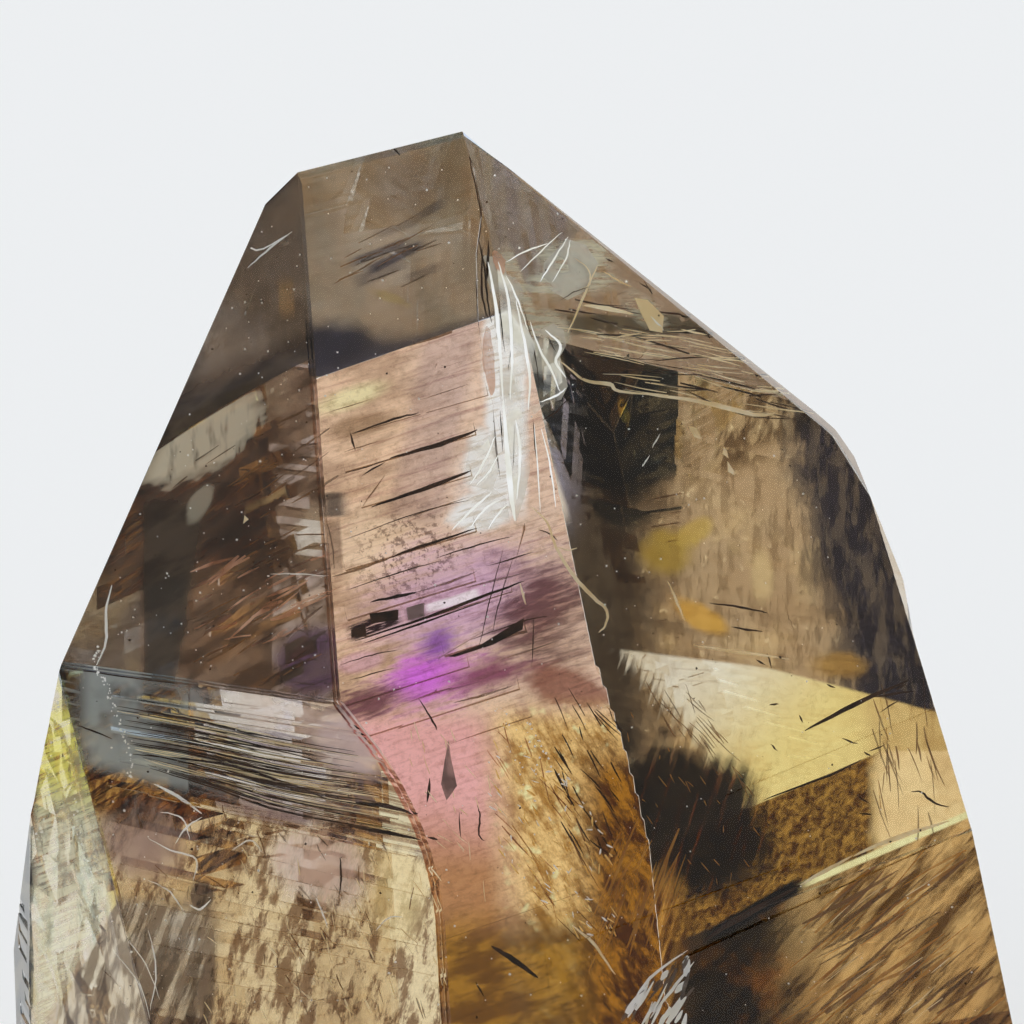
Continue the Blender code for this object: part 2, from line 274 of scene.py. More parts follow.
class Sh:
    """A shader number or colour that can be added, scaled and mixed with plain operators."""

    def __init__(self, graph, value):
        self.graph, self.value = graph, value

    def _math(self, op, *others):
        n = self.graph.nt.nodes.new("ShaderNodeMath")
        n.operation = op
        for i, x in enumerate((self, *others)):
            self.graph.put(x, n.inputs[i])
        return Sh(self.graph, n.outputs[0])

    def __add__(self, o): return self._math("ADD", o)
    def __sub__(self, o): return self._math("SUBTRACT", o)
    def __mul__(self, o): return self._math("MULTIPLY", o)
    def __truediv__(self, o): return self._math("DIVIDE", o)
    def abs(self): return self._math("ABSOLUTE")
    def pow(self, o): return self._math("POWER", o)
    def sqrt(self): return self._math("SQRT")
    def min(self, o): return self._math("MINIMUM", o)
    def max(self, o): return self._math("MAXIMUM", o)

    def swing(self, by=None):
        """A noise taken about its middle, and scaled."""
        off = self - 0.5
        return off if by is None else off * by

    def step(self, low, high):
        """0 at `low`, 1 at `high`, smooth between. `low` may be the greater."""
        n = self.graph.nt.nodes.new("ShaderNodeMapRange")
        n.interpolation_type = "SMOOTHSTEP"
        self.graph.put(self, n.inputs["Value"])
        a, b = (low, high) if low < high else (high, low)
        n.inputs["From Min"].default_value, n.inputs["From Max"].default_value = a, b
        n.inputs["To Min"].default_value, n.inputs["To Max"].default_value = (0, 1) if low < high else (1, 0)
        return Sh(self.graph, n.outputs["Result"])


class Graph:
    """One material's nodes, from plain expressions over x and y: a UV map's place, in its own unit.

    `colour` is its colour so far. `bare` is the sRGB look of the crystal where nothing lies under its face.
    """

    def __init__(self, name, uv="seen", bare=None):
        self.mat = bpy.data.materials.new(name)
        self.mat.use_nodes = True
        self.nt = self.mat.node_tree
        self.nt.nodes.clear()
        self.out = self.nt.nodes.new("ShaderNodeOutputMaterial")
        self.uv, self.bare, self.colour = uv, bare, None
        where = self.nt.nodes.new("ShaderNodeUVMap")
        where.uv_map = uv
        split = self.nt.nodes.new("ShaderNodeSeparateXYZ")
        self.nt.links.new(where.outputs[0], split.inputs[0])
        self.x, self.y = Sh(self, split.outputs[0]), Sh(self, split.outputs[1])

    def put(self, x, socket):
        if isinstance(x, Sh):
            x = x.value
        if isinstance(x, (int, float, tuple, list)):
            if isinstance(x, (tuple, list)) and len(x) == 3 and socket.type == "RGBA":
                x = (*x, 1.0)
            socket.default_value = x
        else:
            self.nt.links.new(x, socket)

    def noise(self, x, y, scale=1.0, detail=2.0, rough=0.55, seed=0.0):
        place = self.nt.nodes.new("ShaderNodeCombineXYZ")
        for socket, value in zip(place.inputs, (x, y, seed)):
            self.put(value, socket)
        n = self.nt.nodes.new("ShaderNodeTexNoise")
        self.nt.links.new(place.outputs[0], n.inputs["Vector"])
        n.inputs["Scale"].default_value = scale
        n.inputs["Detail"].default_value = detail
        n.inputs["Roughness"].default_value = rough
        return Sh(self, n.outputs["Fac"])

    def _line(self, p0, p1):
        """The direction of the line p0 to p1, and x and y from its start."""
        dx, dy = p1[0] - p0[0], p1[1] - p0[1]
        span = hypot(dx, dy)
        return dx / span, dy / span, self.x - p0[0], self.y - p0[1]

    def along(self, p0, p1):
        """How far along the line p0 to p1, and how far to its right hand (below, going right)."""
        dx, dy, x, y = self._line(p0, p1)
        return x * dx + y * dy, y * dx - x * dy

    def side(self, p0, p1):
        """How far to the right hand of the line only."""
        dx, dy, x, y = self._line(p0, p1)
        return y * dx - x * dy

    def blob(self, at, size, angle=0.0, soft=0.6, warp=None):
        """1 inside an ellipse round `at`, 0 outside; `warp` is a number that makes its edge wander."""
        c, s = cos(radians(angle)), sin(radians(angle))
        a, b = self.along(at, (at[0] + c, at[1] - s))
        r = ((a / size[0]).pow(2.0) + (b / size[1]).pow(2.0)).sqrt()
        if warp is not None:
            r = r + warp
        return r.step(1.0 + soft / 2, 1.0 - soft / 2)

    def bar(self, p0, p1, half, soft=0.03):
        """1 within `half` of the stretch p0 to p1."""
        a, b = self.along(p0, p1)
        span = hypot(p1[0] - p0[0], p1[1] - p0[1])
        ends = soft * 2
        return b.abs().step(half + soft, half) * a.step(-ends, ends) * a.step(span + ends, span - ends)

    def seen(self, *colour):
        """The filter that makes the bare crystal look like an sRGB colour."""
        shares = ((c - GLOSS) / (b - BARE_GLOSS) for c, b in zip(rgb(*colour), rgb(*self.bare)))
        return tuple(min(max(share, 0.0), 1.0) for share in shares)

    def tint(self, base, mask, colour):
        """`base` seen through `colour` where `mask` is 1."""
        return self._mix("MULTIPLY", base, mask, colour)

    def mix(self, base, mask, colour):
        """`base` where `mask` is 0, `colour` where it is 1."""
        return self._mix("MIX", base, mask, colour)

    def pair(self, base, mask, colour):
        """The same for two sRGB colours."""
        return self.mix(self.seen(*base), mask, self.seen(*colour))

    def lay(self, mask, colour):
        """Lays `colour` over the graph's colour."""
        self.colour = self.mix(self.colour, mask, colour)

    def paint(self, mask, *colour):
        """Lays an sRGB colour over the graph's colour."""
        self.lay(mask, self.seen(*colour))

    def stain(self, mask, colour):
        """Lays a filter over the graph's colour."""
        self.colour = self.tint(self.colour, mask, colour)

    def _mix(self, blend, base, mask, colour):
        n = self.nt.nodes.new("ShaderNodeMix")
        n.data_type, n.blend_type = "RGBA", blend
        for value, socket in zip((mask, base, colour), MIX_SOCKETS):
            self.put(value, n.inputs[socket])
        return Sh(self, n.outputs[MIX_RESULT])

    def sheet(self, veil=None, veil_colour=None):
        """A clear sheet that colours what is behind it, with a scattering veil where `veil` is above 0."""
        colour = self.colour
        clear_part = self.nt.nodes.new("ShaderNodeBsdfTransparent")
        if self.uv == "seen":
            below = self.y.step(*PHOTO_END)
            colour = self.mix(colour, below, FADED)
            veil = None if veil is None else veil * (below * -1 + 1)
        self.put(colour, clear_part.inputs["Color"])
        shader = clear_part.outputs[0]
        if veil is not None:
            veil_part = self.nt.nodes.new("ShaderNodeBsdfDiffuse")
            self.put(veil_colour, veil_part.inputs["Color"])
            mixer = self.nt.nodes.new("ShaderNodeMixShader")
            self.put(veil, mixer.inputs[0])
            self.nt.links.new(shader, mixer.inputs[1])
            self.nt.links.new(veil_part.outputs[0], mixer.inputs[2])
            shader = mixer.outputs[0]
        self.nt.links.new(shader, self.out.inputs["Surface"])
        return self.mat


def zoning(name, bare):
    """The graph for a lining, with its x and y: the photograph's pixel in hundreds."""
    g = Graph(f"{name}_zoning", bare=bare)
    return g, g.x, g.y


def dull(name, colour, other, clear=0.0, scale=900.0):
    """For fine things inside: two colours in a fine 3-D noise, see-through by the share `clear`."""
    mat = bpy.data.materials.new(name)
    mat.use_nodes = True
    nt = mat.node_tree
    nt.nodes.clear()
    out = nt.nodes.new("ShaderNodeOutputMaterial")
    where = nt.nodes.new("ShaderNodeTexCoord")
    speckle = nt.nodes.new("ShaderNodeTexNoise")
    speckle.inputs["Scale"].default_value = scale
    speckle.inputs["Detail"].default_value = 2.0
    nt.links.new(where.outputs["Object"], speckle.inputs["Vector"])
    sharpen = nt.nodes.new("ShaderNodeMapRange")
    sharpen.inputs["From Min"].default_value, sharpen.inputs["From Max"].default_value = 0.38, 0.62
    nt.links.new(speckle.outputs["Fac"], sharpen.inputs["Value"])
    blend = nt.nodes.new("ShaderNodeMix")
    blend.data_type = "RGBA"
    nt.links.new(sharpen.outputs["Result"], blend.inputs[0])
    for value, socket in zip((colour, other), MIX_SOCKETS[1:]):
        blend.inputs[socket].default_value = (*rgb(*value), 1)
    shader = nt.nodes.new("ShaderNodeBsdfDiffuse")
    nt.links.new(blend.outputs[MIX_RESULT], shader.inputs["Color"])
    shader = shader.outputs[0]
    if clear:
        through = nt.nodes.new("ShaderNodeBsdfTransparent")
        mixer = nt.nodes.new("ShaderNodeMixShader")
        holes = nt.nodes.new("ShaderNodeMapRange")
        holes.inputs["From Min"].default_value, holes.inputs["From Max"].default_value = 0.40, 0.60
        holes.inputs["To Min"].default_value = max(1 - clear * 1.5, 0.05)
        holes.inputs["To Max"].default_value = 1 - clear * 0.5
        nt.links.new(speckle.outputs["Fac"], holes.inputs["Value"])
        nt.links.new(holes.outputs["Result"], mixer.inputs[0])
        nt.links.new(through.outputs[0], mixer.inputs[1])
        nt.links.new(shader, mixer.inputs[2])
        shader = mixer.outputs[0]
    nt.links.new(shader, out.inputs["Surface"])
    return mat


# ---------------------------------------------------------------- pieces


def add_piece(name, mesh, material):
    piece = bpy.data.objects.new(name, mesh)
    scene.collection.objects.link(piece)
    piece.data.materials.append(material)
    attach(piece, "root")
    return piece


ROWS = np.arange(100.5, 1052, 4)  # pixels: a lining's rows, down to just below the photograph
SCAN = np.arange(0, 1030, 0.5)
COLUMNS = 26


def lining(name, enter, leave, depth, material):
    """A sheet `depth` mm under the near faces, over the pixels whose rays go from `enter` to `leave`.

    Its UV map `seen` is the photograph's pixel in hundreds. It ends where the refracted edges are seen.
    """
    enter = [NAMES.index(face) for face in enter]
    leave = [NAMES.index(face) for face in leave] if leave else range(len(NAMES))
    rows = []
    for py in ROWS:
        first, second = crossed(SCAN, np.full_like(SCAN, py))[:2]
        inside = np.flatnonzero(np.isin(first, enter) & np.isin(second, leave))
        if len(inside) > 2:
            rows.append((py, SCAN[inside[0]], SCAN[inside[-1]]))
    bm = bmesh.new()
    layer = bm.loops.layers.uv.new("seen")
    before = None
    for py, x0, x1 in rows:
        px = np.linspace(x0, x1, COLUMNS + 1)
        first, _, point, inner, length = crossed(px, np.full_like(px, py))
        along = np.minimum(depth / -(inner * NORMALS[first]).sum(1), ROOM * length)
        places = (point + inner * along[:, None]) * MM
        now = [(bm.verts.new(p), x / 100, py / 100) for p, x in zip(places, px)]
        if before:
            for corners in zip(before, before[1:], now[1:], now):
                face = bm.faces.new([c[0] for c in corners])
                for loop, c in zip(face.loops, corners):
                    loop[layer].uv = c[1:]
        before = now
    mesh = bpy.data.meshes.new(name)
    bm.to_mesh(mesh)
    bm.free()
    return add_piece(name, mesh, material)


def sheet(name, face, depth, material, margin=None):
    """A flat sheet under a face, `margin` mm inside its outline. Its UV map is `face_mm`."""
    poly = shrunk_polygon(face, depth, depth if margin is None else margin)
    bm = bmesh.new()
    bm.faces.new([bm.verts.new((u, v, 0.0)) for u, v in poly])
    layer = bm.loops.layers.uv.new("face_mm")
    for f in bm.faces:
        for loop in f.loops:
            loop[layer].uv = loop.vert.co.xy
    for vert in bm.verts:
        vert.co = on_face(face, vert.co.x, vert.co.y, depth) * MM
    mesh = bpy.data.meshes.new(name)
    bm.to_mesh(mesh)
    bm.free()
    return add_piece(name, mesh, material)


def outline_of(points, widths):
    """The outline in pixels of a stroke along `points` whose whole width is `widths` at each."""
    left, right = [], []
    for i, (x, y) in enumerate(points):
        x0, y0 = points[max(i - 1, 0)]
        x1, y1 = points[min(i + 1, len(points) - 1)]
        span = hypot(x1 - x0, y1 - y0) or 1.0
        nx, ny = -(y1 - y0) / span, (x1 - x0) / span
        w = widths[i] / 2
        left.append((x + nx * w, y + ny * w))
        right.append((x - nx * w, y - ny * w))
    return left, right


def smooth_path(points, steps=5):
    """Points along a smooth (Catmull-Rom) curve through the given ones."""
    if len(points) < 3:
        (x0, y0), (x1, y1) = points[0], points[-1]
        return [(x0 + (x1 - x0) * i / 4, y0 + (y1 - y0) * i / 4) for i in range(5)]
    pts = [points[0], *points, points[-1]]
    out = []
    for p0, p1, p2, p3 in zip(pts, pts[1:], pts[2:], pts[3:]):
        for i in range(steps):
            t = i / steps
            out.append(tuple(
                0.5 * (2 * b + (c - a) * t + (2 * a - 5 * b + 4 * c - d) * t * t + (3 * b - a - 3 * c + d)
                       * t**3)
                for a, b, c, d in zip(p0, p1, p2, p3)
            ))
    return [*out, points[-1]]


class Strokes:
    """Collects thin flat shapes, given in pixels, into one mesh."""

    def __init__(self):
        self.bm = bmesh.new()

    def ribbon(self, place, points, width, taper=0.15, thick_at=0.5, wobble=0.0, seed=0):
        """A stroke along `points`, thickest at the share `thick_at`. What leaves the crystal is left out."""
        path = smooth_path(points)
        last = len(path) - 1
        random = Random(seed * 131 + len(path))
        if wobble:
            path = [(x + random.uniform(-wobble, wobble), y + random.uniform(-wobble, wobble)) for x,
                    y in path]
        widths = []
        for i in range(last + 1):
            share = i / last
            near = 1 - abs(share - thick_at) / max(thick_at, 1 - thick_at)
            widths.append(width * (taper + (1 - taper) * near ** 0.7))
        left, right = outline_of(path, widths)
        both = np.array(left + right)
        seen = (crossed(both[:, 0], both[:, 1])[0] >= 0).reshape(2, -1).all(0)
        kept = [i for i in range(last + 1) if seen[i]]
        if len(kept) < 2 or kept[-1] - kept[0] != len(kept) - 1:
            return
        left, right = [left[i] for i in kept], [right[i] for i in kept]
        rows = [(self.bm.verts.new(place(*a) * MM), self.bm.verts.new(place(*b) * MM)) for a,
                b in zip(left, right)]
        for (a, b), (c, d) in zip(rows, rows[1:]):
            self.bm.faces.new((a, b, d, c))

    def patch(self, place, points, grid=None, rough=0.0, seed=0):
        """A filled outline, cut into cells of `grid` pixels so that it can follow an uneven surface."""
        flat = bmesh.new()
        flat.faces.new([flat.verts.new((x, y, 0.0)) for x, y in points])
        if grid:
            for axis in range(2):
                span = [p[axis] for p in points]
                for cut in np.arange(min(span) + grid * 0.7, max(span), grid):
                    line, side = Vector((0.0, 0.0, 0.0)), Vector((0.0, 0.0, 0.0))
                    line[axis], side[axis], side[1 - axis] = cut, 1.0, 0.35
                    bmesh.ops.bisect_plane(
                        flat, geom=flat.verts[:] + flat.edges[:] + flat.faces[:], plane_co=line, plane_no=side
                    )
        bmesh.ops.triangulate(flat, faces=flat.faces[:])
        random = Random(seed)
        made = {}
        for v in flat.verts:
            dx, dy = random.uniform(-rough, rough), random.uniform(-rough, rough)
            made[v] = self.bm.verts.new(place(v.co.x + dx, v.co.y + dy) * MM)
        for f in flat.faces:
            self.bm.faces.new([made[v] for v in f.verts])
        flat.free()

    def speck(self, place, x, y, size, random):
        """An uneven flat grain with three to five corners."""
        count = random.choice((3, 4, 5))
        spin = random.uniform(0, 6.3)
        turns = [spin + 6.283 * i / count for i in range(count)]
        ring = [
            (x + cos(turn) * size * random.uniform(0.5, 1.0), y + sin(turn) * size * random.uniform(0.5, 1.0))
            for turn in turns
        ]
        if (crossed(np.array([p[0] for p in ring]), np.array([p[1] for p in ring]))[0] < 0).any():
            return
        self.bm.faces.new([self.bm.verts.new(place(*p) * MM) for p in ring])

    def finish(self, name, material):
        mesh = bpy.data.meshes.new(name)
        self.bm.to_mesh(mesh)
        self.bm.free()
        return add_piece(name, mesh, material)


def inside_polygon(x, y, poly):
    hit = False
    for (x0, y0), (x1, y1) in zip(poly, poly[1:] + poly[:1]):
        if (y0 > y) != (y1 > y) and x < (x1 - x0) * (y - y0) / (y1 - y0) + x0:
            hit = not hit
    return hit


def scatter(poly, count, random):
    """Seeded places inside a pixel polygon."""
    xs, ys = [p[0] for p in poly], [p[1] for p in poly]
    found = []
    while len(found) < count:
        x, y = random.uniform(min(xs), max(xs)), random.uniform(min(ys), max(ys))
        if inside_polygon(x, y, poly):
            found.append((x, y))
    return found


# ---------------------------------------------------------------- floor and glass


def add_floor():
    bm = bmesh.new()
    bmesh.ops.create_grid(bm, x_segments=1, y_segments=1, size=1.0)
    mesh = bpy.data.meshes.new("floor")
    bm.to_mesh(mesh)
    bm.free()
    floor = bpy.data.objects.new("floor", mesh)
    mat = bpy.data.materials.new("floor")
    mat.use_nodes = True
    shader = mat.node_tree.nodes["Principled BSDF"]
    shader.inputs["Base Color"].default_value = (0.97, 0.97, 0.97, 1)
    shader.inputs["Roughness"].default_value = 0.9
    shader.inputs["Specular IOR Level"].default_value = 0.2
    floor.data.materials.append(mat)
    scene.collection.objects.link(floor)


def glass_material():
    mat = bpy.data.materials.new("smoky_amethyst_glass")
    mat.use_nodes = True
    nt = mat.node_tree
    p = nt.nodes["Principled BSDF"]
    p.inputs["Base Color"].default_value = (1, 1, 1, 1)
    p.inputs["Roughness"].default_value = 0.0
    p.inputs["IOR"].default_value = IOR
    p.inputs["Transmission Weight"].default_value = 1.0
    p.inputs["Specular Tint"].default_value = (0.34, 0.30, 0.26, 1)
    v = nt.nodes.new("ShaderNodeVolumeAbsorption")
    v.inputs["Color"].default_value = (0.90, 0.82, 0.70, 1)
    v.inputs["Density"].default_value = 17.0
    nt.links.new(v.outputs[0], nt.nodes["Material Output"].inputs["Volume"])
    return mat


ON_FACE = 0.006  # mm: a vertex this near to a face is on it
NEAR_FACE = 0.45  # mm: in a pit or under a ledge of the face
STIFF = 1000.0  # weight that keeps the other faces exactly flat


def reseated(place):
    """Where a vertex of the CAD goes when the TURNED faces turn, in mm."""
    depths = {name: reach - n.dot(place) for name, (n, reach) in CAD_PLANES.items()}
    on = [name for name in TURNED if depths[name] < ON_FACE]
    if not on:
        nearest = min(TURNED, key=depths.get)
        on = [nearest] if depths[nearest] < NEAR_FACE else []
    if not on:
        return place
    rows = [(PLANES[name][0], PLANES[name][1] - depths[name] - PLANES[name][0].dot(place)) for name in on]
    others = [name for name in depths if name not in TURNED]
    kept = [name for name in others if abs(depths[name]) < ON_FACE]
    nearest = min(others, key=depths.get)
    if not kept and depths[nearest] < NEAR_FACE:
        kept = [nearest]
    rows += [(CAD_PLANES[name][0] * STIFF, 0.0) for name in kept]
    slopes, gaps = np.array([row[0][:] for row in rows]), np.array([row[1] for row in rows])
    move = np.linalg.lstsq(slopes, gaps, rcond=None)[0]
    return place + Vector(move)


WELD = 1e-7  # m


def add_glass():
    """The crystal itself: the CAD solid with its TURNED faces turned and its rolled front shaded smooth."""
    bm = bmesh.new()
    bm.from_mesh(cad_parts["crystal"].data)
    bmesh.ops.remove_doubles(bm, verts=bm.verts[:], dist=WELD)
    flat = radians(0.06)  # the solid's flat faces come as many triangles, and turn as one
    bmesh.ops.dissolve_limit(bm, angle_limit=flat, verts=bm.verts[:], edges=bm.edges[:])
    for vert in bm.verts:
        vert.co = reseated(vert.co / MM) * MM
    bmesh.ops.remove_doubles(bm, verts=bm.verts[:], dist=WELD)
    bmesh.ops.triangulate(bm, faces=bm.faces[:])
    bmesh.ops.dissolve_degenerate(bm, edges=bm.edges[:], dist=WELD)
    for f in bm.faces:
        f.smooth = True
    mesh = bpy.data.meshes.new("crystal_glass")
    bm.to_mesh(mesh)
    bm.free()
    mesh.set_sharp_from_angle(angle=radians(4.4))  # just over the step between two rolled facets
    glass = add_piece("crystal_glass", mesh, glass_material())
    weigh = glass.modifiers.new("even_faces", "WEIGHTED_NORMAL")
    weigh.keep_sharp = True
    weigh.weight = 100
    weigh.mode = "FACE_AREA"
    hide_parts("crystal")


add_floor()
add_glass()

# ---------------------------------------------------------------- zoning seen through the front
# The linings lie under the near faces. Each covers what is seen through the front in one far face, and is
# named after it. So the zones fit the photograph's view and read as thin layers from other sides.
# Their colours hold the crystal's own zones and also painted shade: where the view through the front refracts
# toward dark, that dark is painted into them as a filter.

BACK = 0.25  # mm that the pale sheets lie under their faces
NEAR = 0.40  # mm that the linings lie under the near faces
FRONT = ("front_right_tip", "front_right_foot", *ROLLED)


def back_left_tip():
    """The middle of the tip: smoky clouds with a few short dark bars, over a painted shade band low down."""
    g, x, y = zoning("back_left_tip", (162, 141, 114))
    cloud = g.noise(x, y * 0.7, 1.5, 3, seed=1.0)
    grain = g.noise(x, y, 10.0, 3, 0.75, seed=2.0)
    g.colour = g.pair((164, 146, 128), cloud.step(0.38, 0.62), (144, 130, 118))
    g.paint(g.blob((3.56, 2.05), (0.28, 0.42), 8, 1.0) * 0.7, 156, 136, 108)
    g.paint(g.blob((4.1, 1.85), (0.35, 0.3), 0, 1.2) * 0.5, 126, 116, 112)
    # painted shade: a dark band low in the tip, darkest along its lower edge, where the view through the
    # front refracts toward dark
    low = g.side((3.10, 3.12), (4.80, 3.32)) + cloud.swing(0.35)
    g.paint(low.step(-0.05, 0.22) * x.step(4.9, 3.5), 56, 53, 56)
    g.paint(g.side((3.13, 3.80), (4.78, 3.26)).step(-0.16, -0.02) * 0.8, 72, 66, 66)
    for p0, p1, half, dark in (
        ((3.52, 2.63), (4.06, 2.42), 0.018, 0.75), ((3.68, 2.71), (4.22, 2.44), 0.022, 0.85),
        ((3.56, 2.83), (4.03, 2.62), 0.04, 0.5), ((4.20, 2.16), (4.44, 2.02), 0.015, 0.6),
        ((3.80, 2.34), (4.20, 2.20), 0.014, 0.4), ((4.05, 2.80), (4.40, 2.66), 0.02, 0.4),
    ):
        g.paint(g.bar(p0, p1, half, 0.05) * dark, 66, 60, 60)
    g.paint(g.blob((3.91, 2.98), (0.19, 0.045), -20, 0.7, grain.swing(1.2)), 176, 142, 92)
    g.stain(grain.step(0.42, 0.66) * 0.55, (0.84, 0.83, 0.83))
    return g.sheet()


def back_right_tip():
    """Behind the right of the tip: the yellow-green fracture plates, in bands above a cream line."""
    g, x, y = zoning("back_right_tip", (177, 156, 129))
    wave = g.noise(x * 0.6, y * 2.2, 2.2, 3, seed=3.0)
    fine = g.noise(x * 0.7, y * 5.0, 3.5, 3, 0.6, seed=4.0)
    grain = g.noise(x, y, 11.0, 3, 0.75, seed=5.0)
    upright = g.noise(x * 3.0, y * 0.5, 1.2, 2, seed=6.0)
    g.colour = g.pair((144, 132, 124), upright.step(0.4, 0.6), (160, 146, 132))
    plates = g.side((5.36, 2.86), (5.92, 2.10)).step(-0.02, 0.05)
    g.lay(plates, g.pair((172, 160, 126), fine.step(0.34, 0.58), (222, 212, 172)))
    g.paint(plates * g.blob((5.72, 2.70), (0.42, 0.30), 30, 0.9, wave.swing(1.4)), 222, 222, 190)
    g.paint(plates * (y + wave.swing(0.3) - 3.24).abs().step(0.15, 0.06) * 0.85, 84, 78, 58)
    g.paint(g.bar((5.80, 3.05), (6.36, 3.12), 0.035, 0.04), 222, 212, 150)
    g.paint(g.blob((6.48, 3.12), (0.22, 0.09), -50, 0.7, fine.swing(1.5)), 236, 220, 160)
    g.paint(g.bar((6.04, 2.71), (6.34, 2.86), 0.012, 0.02), 226, 216, 190)
    under_line = g.side((6.19, 3.93), (7.76, 4.16))
    stripes = g.noise(x * 0.35, under_line * 9.0, 2.0, 2, seed=7.0)
    g.lay(under_line.step(-0.42, -0.30) * under_line.step(0.02, -0.02) * 0.9,
          g.pair((132, 112, 84), stripes.step(0.40, 0.56), (214, 196, 158)))
    g.stain(grain.step(0.42, 0.68) * 0.6, (0.80, 0.78, 0.74))
    g.paint(g.noise(x, y, 9.0, 2, 0.6, seed=8.0).step(0.62, 0.72) * plates, 246, 240, 214)
    crack = g.bar((4.96, 2.55), (5.24, 3.3), 0.15, 0.06)
    crack = crack.max(g.blob((5.44, 3.34), (0.26, 0.24), 0, 0.5, wave.swing()))
    g.lay(crack, g.mix((1.0, 1.0, 0.98), fine.step(0.45, 0.60), (0.60, 0.56, 0.48)))
    flake = crack * 0.5
    flake = flake.max(g.blob((5.78, 2.66), (0.46, 0.24), 20, 0.9, wave.swing(2.2)) * 0.85)
    flake = flake.max(g.blob((6.46, 3.12), (0.26, 0.12), -40, 0.8, fine.swing(2.0)) * 0.7)
    return g.sheet(flake * fine.step(0.34, 0.56), rgb(232, 232, 206))


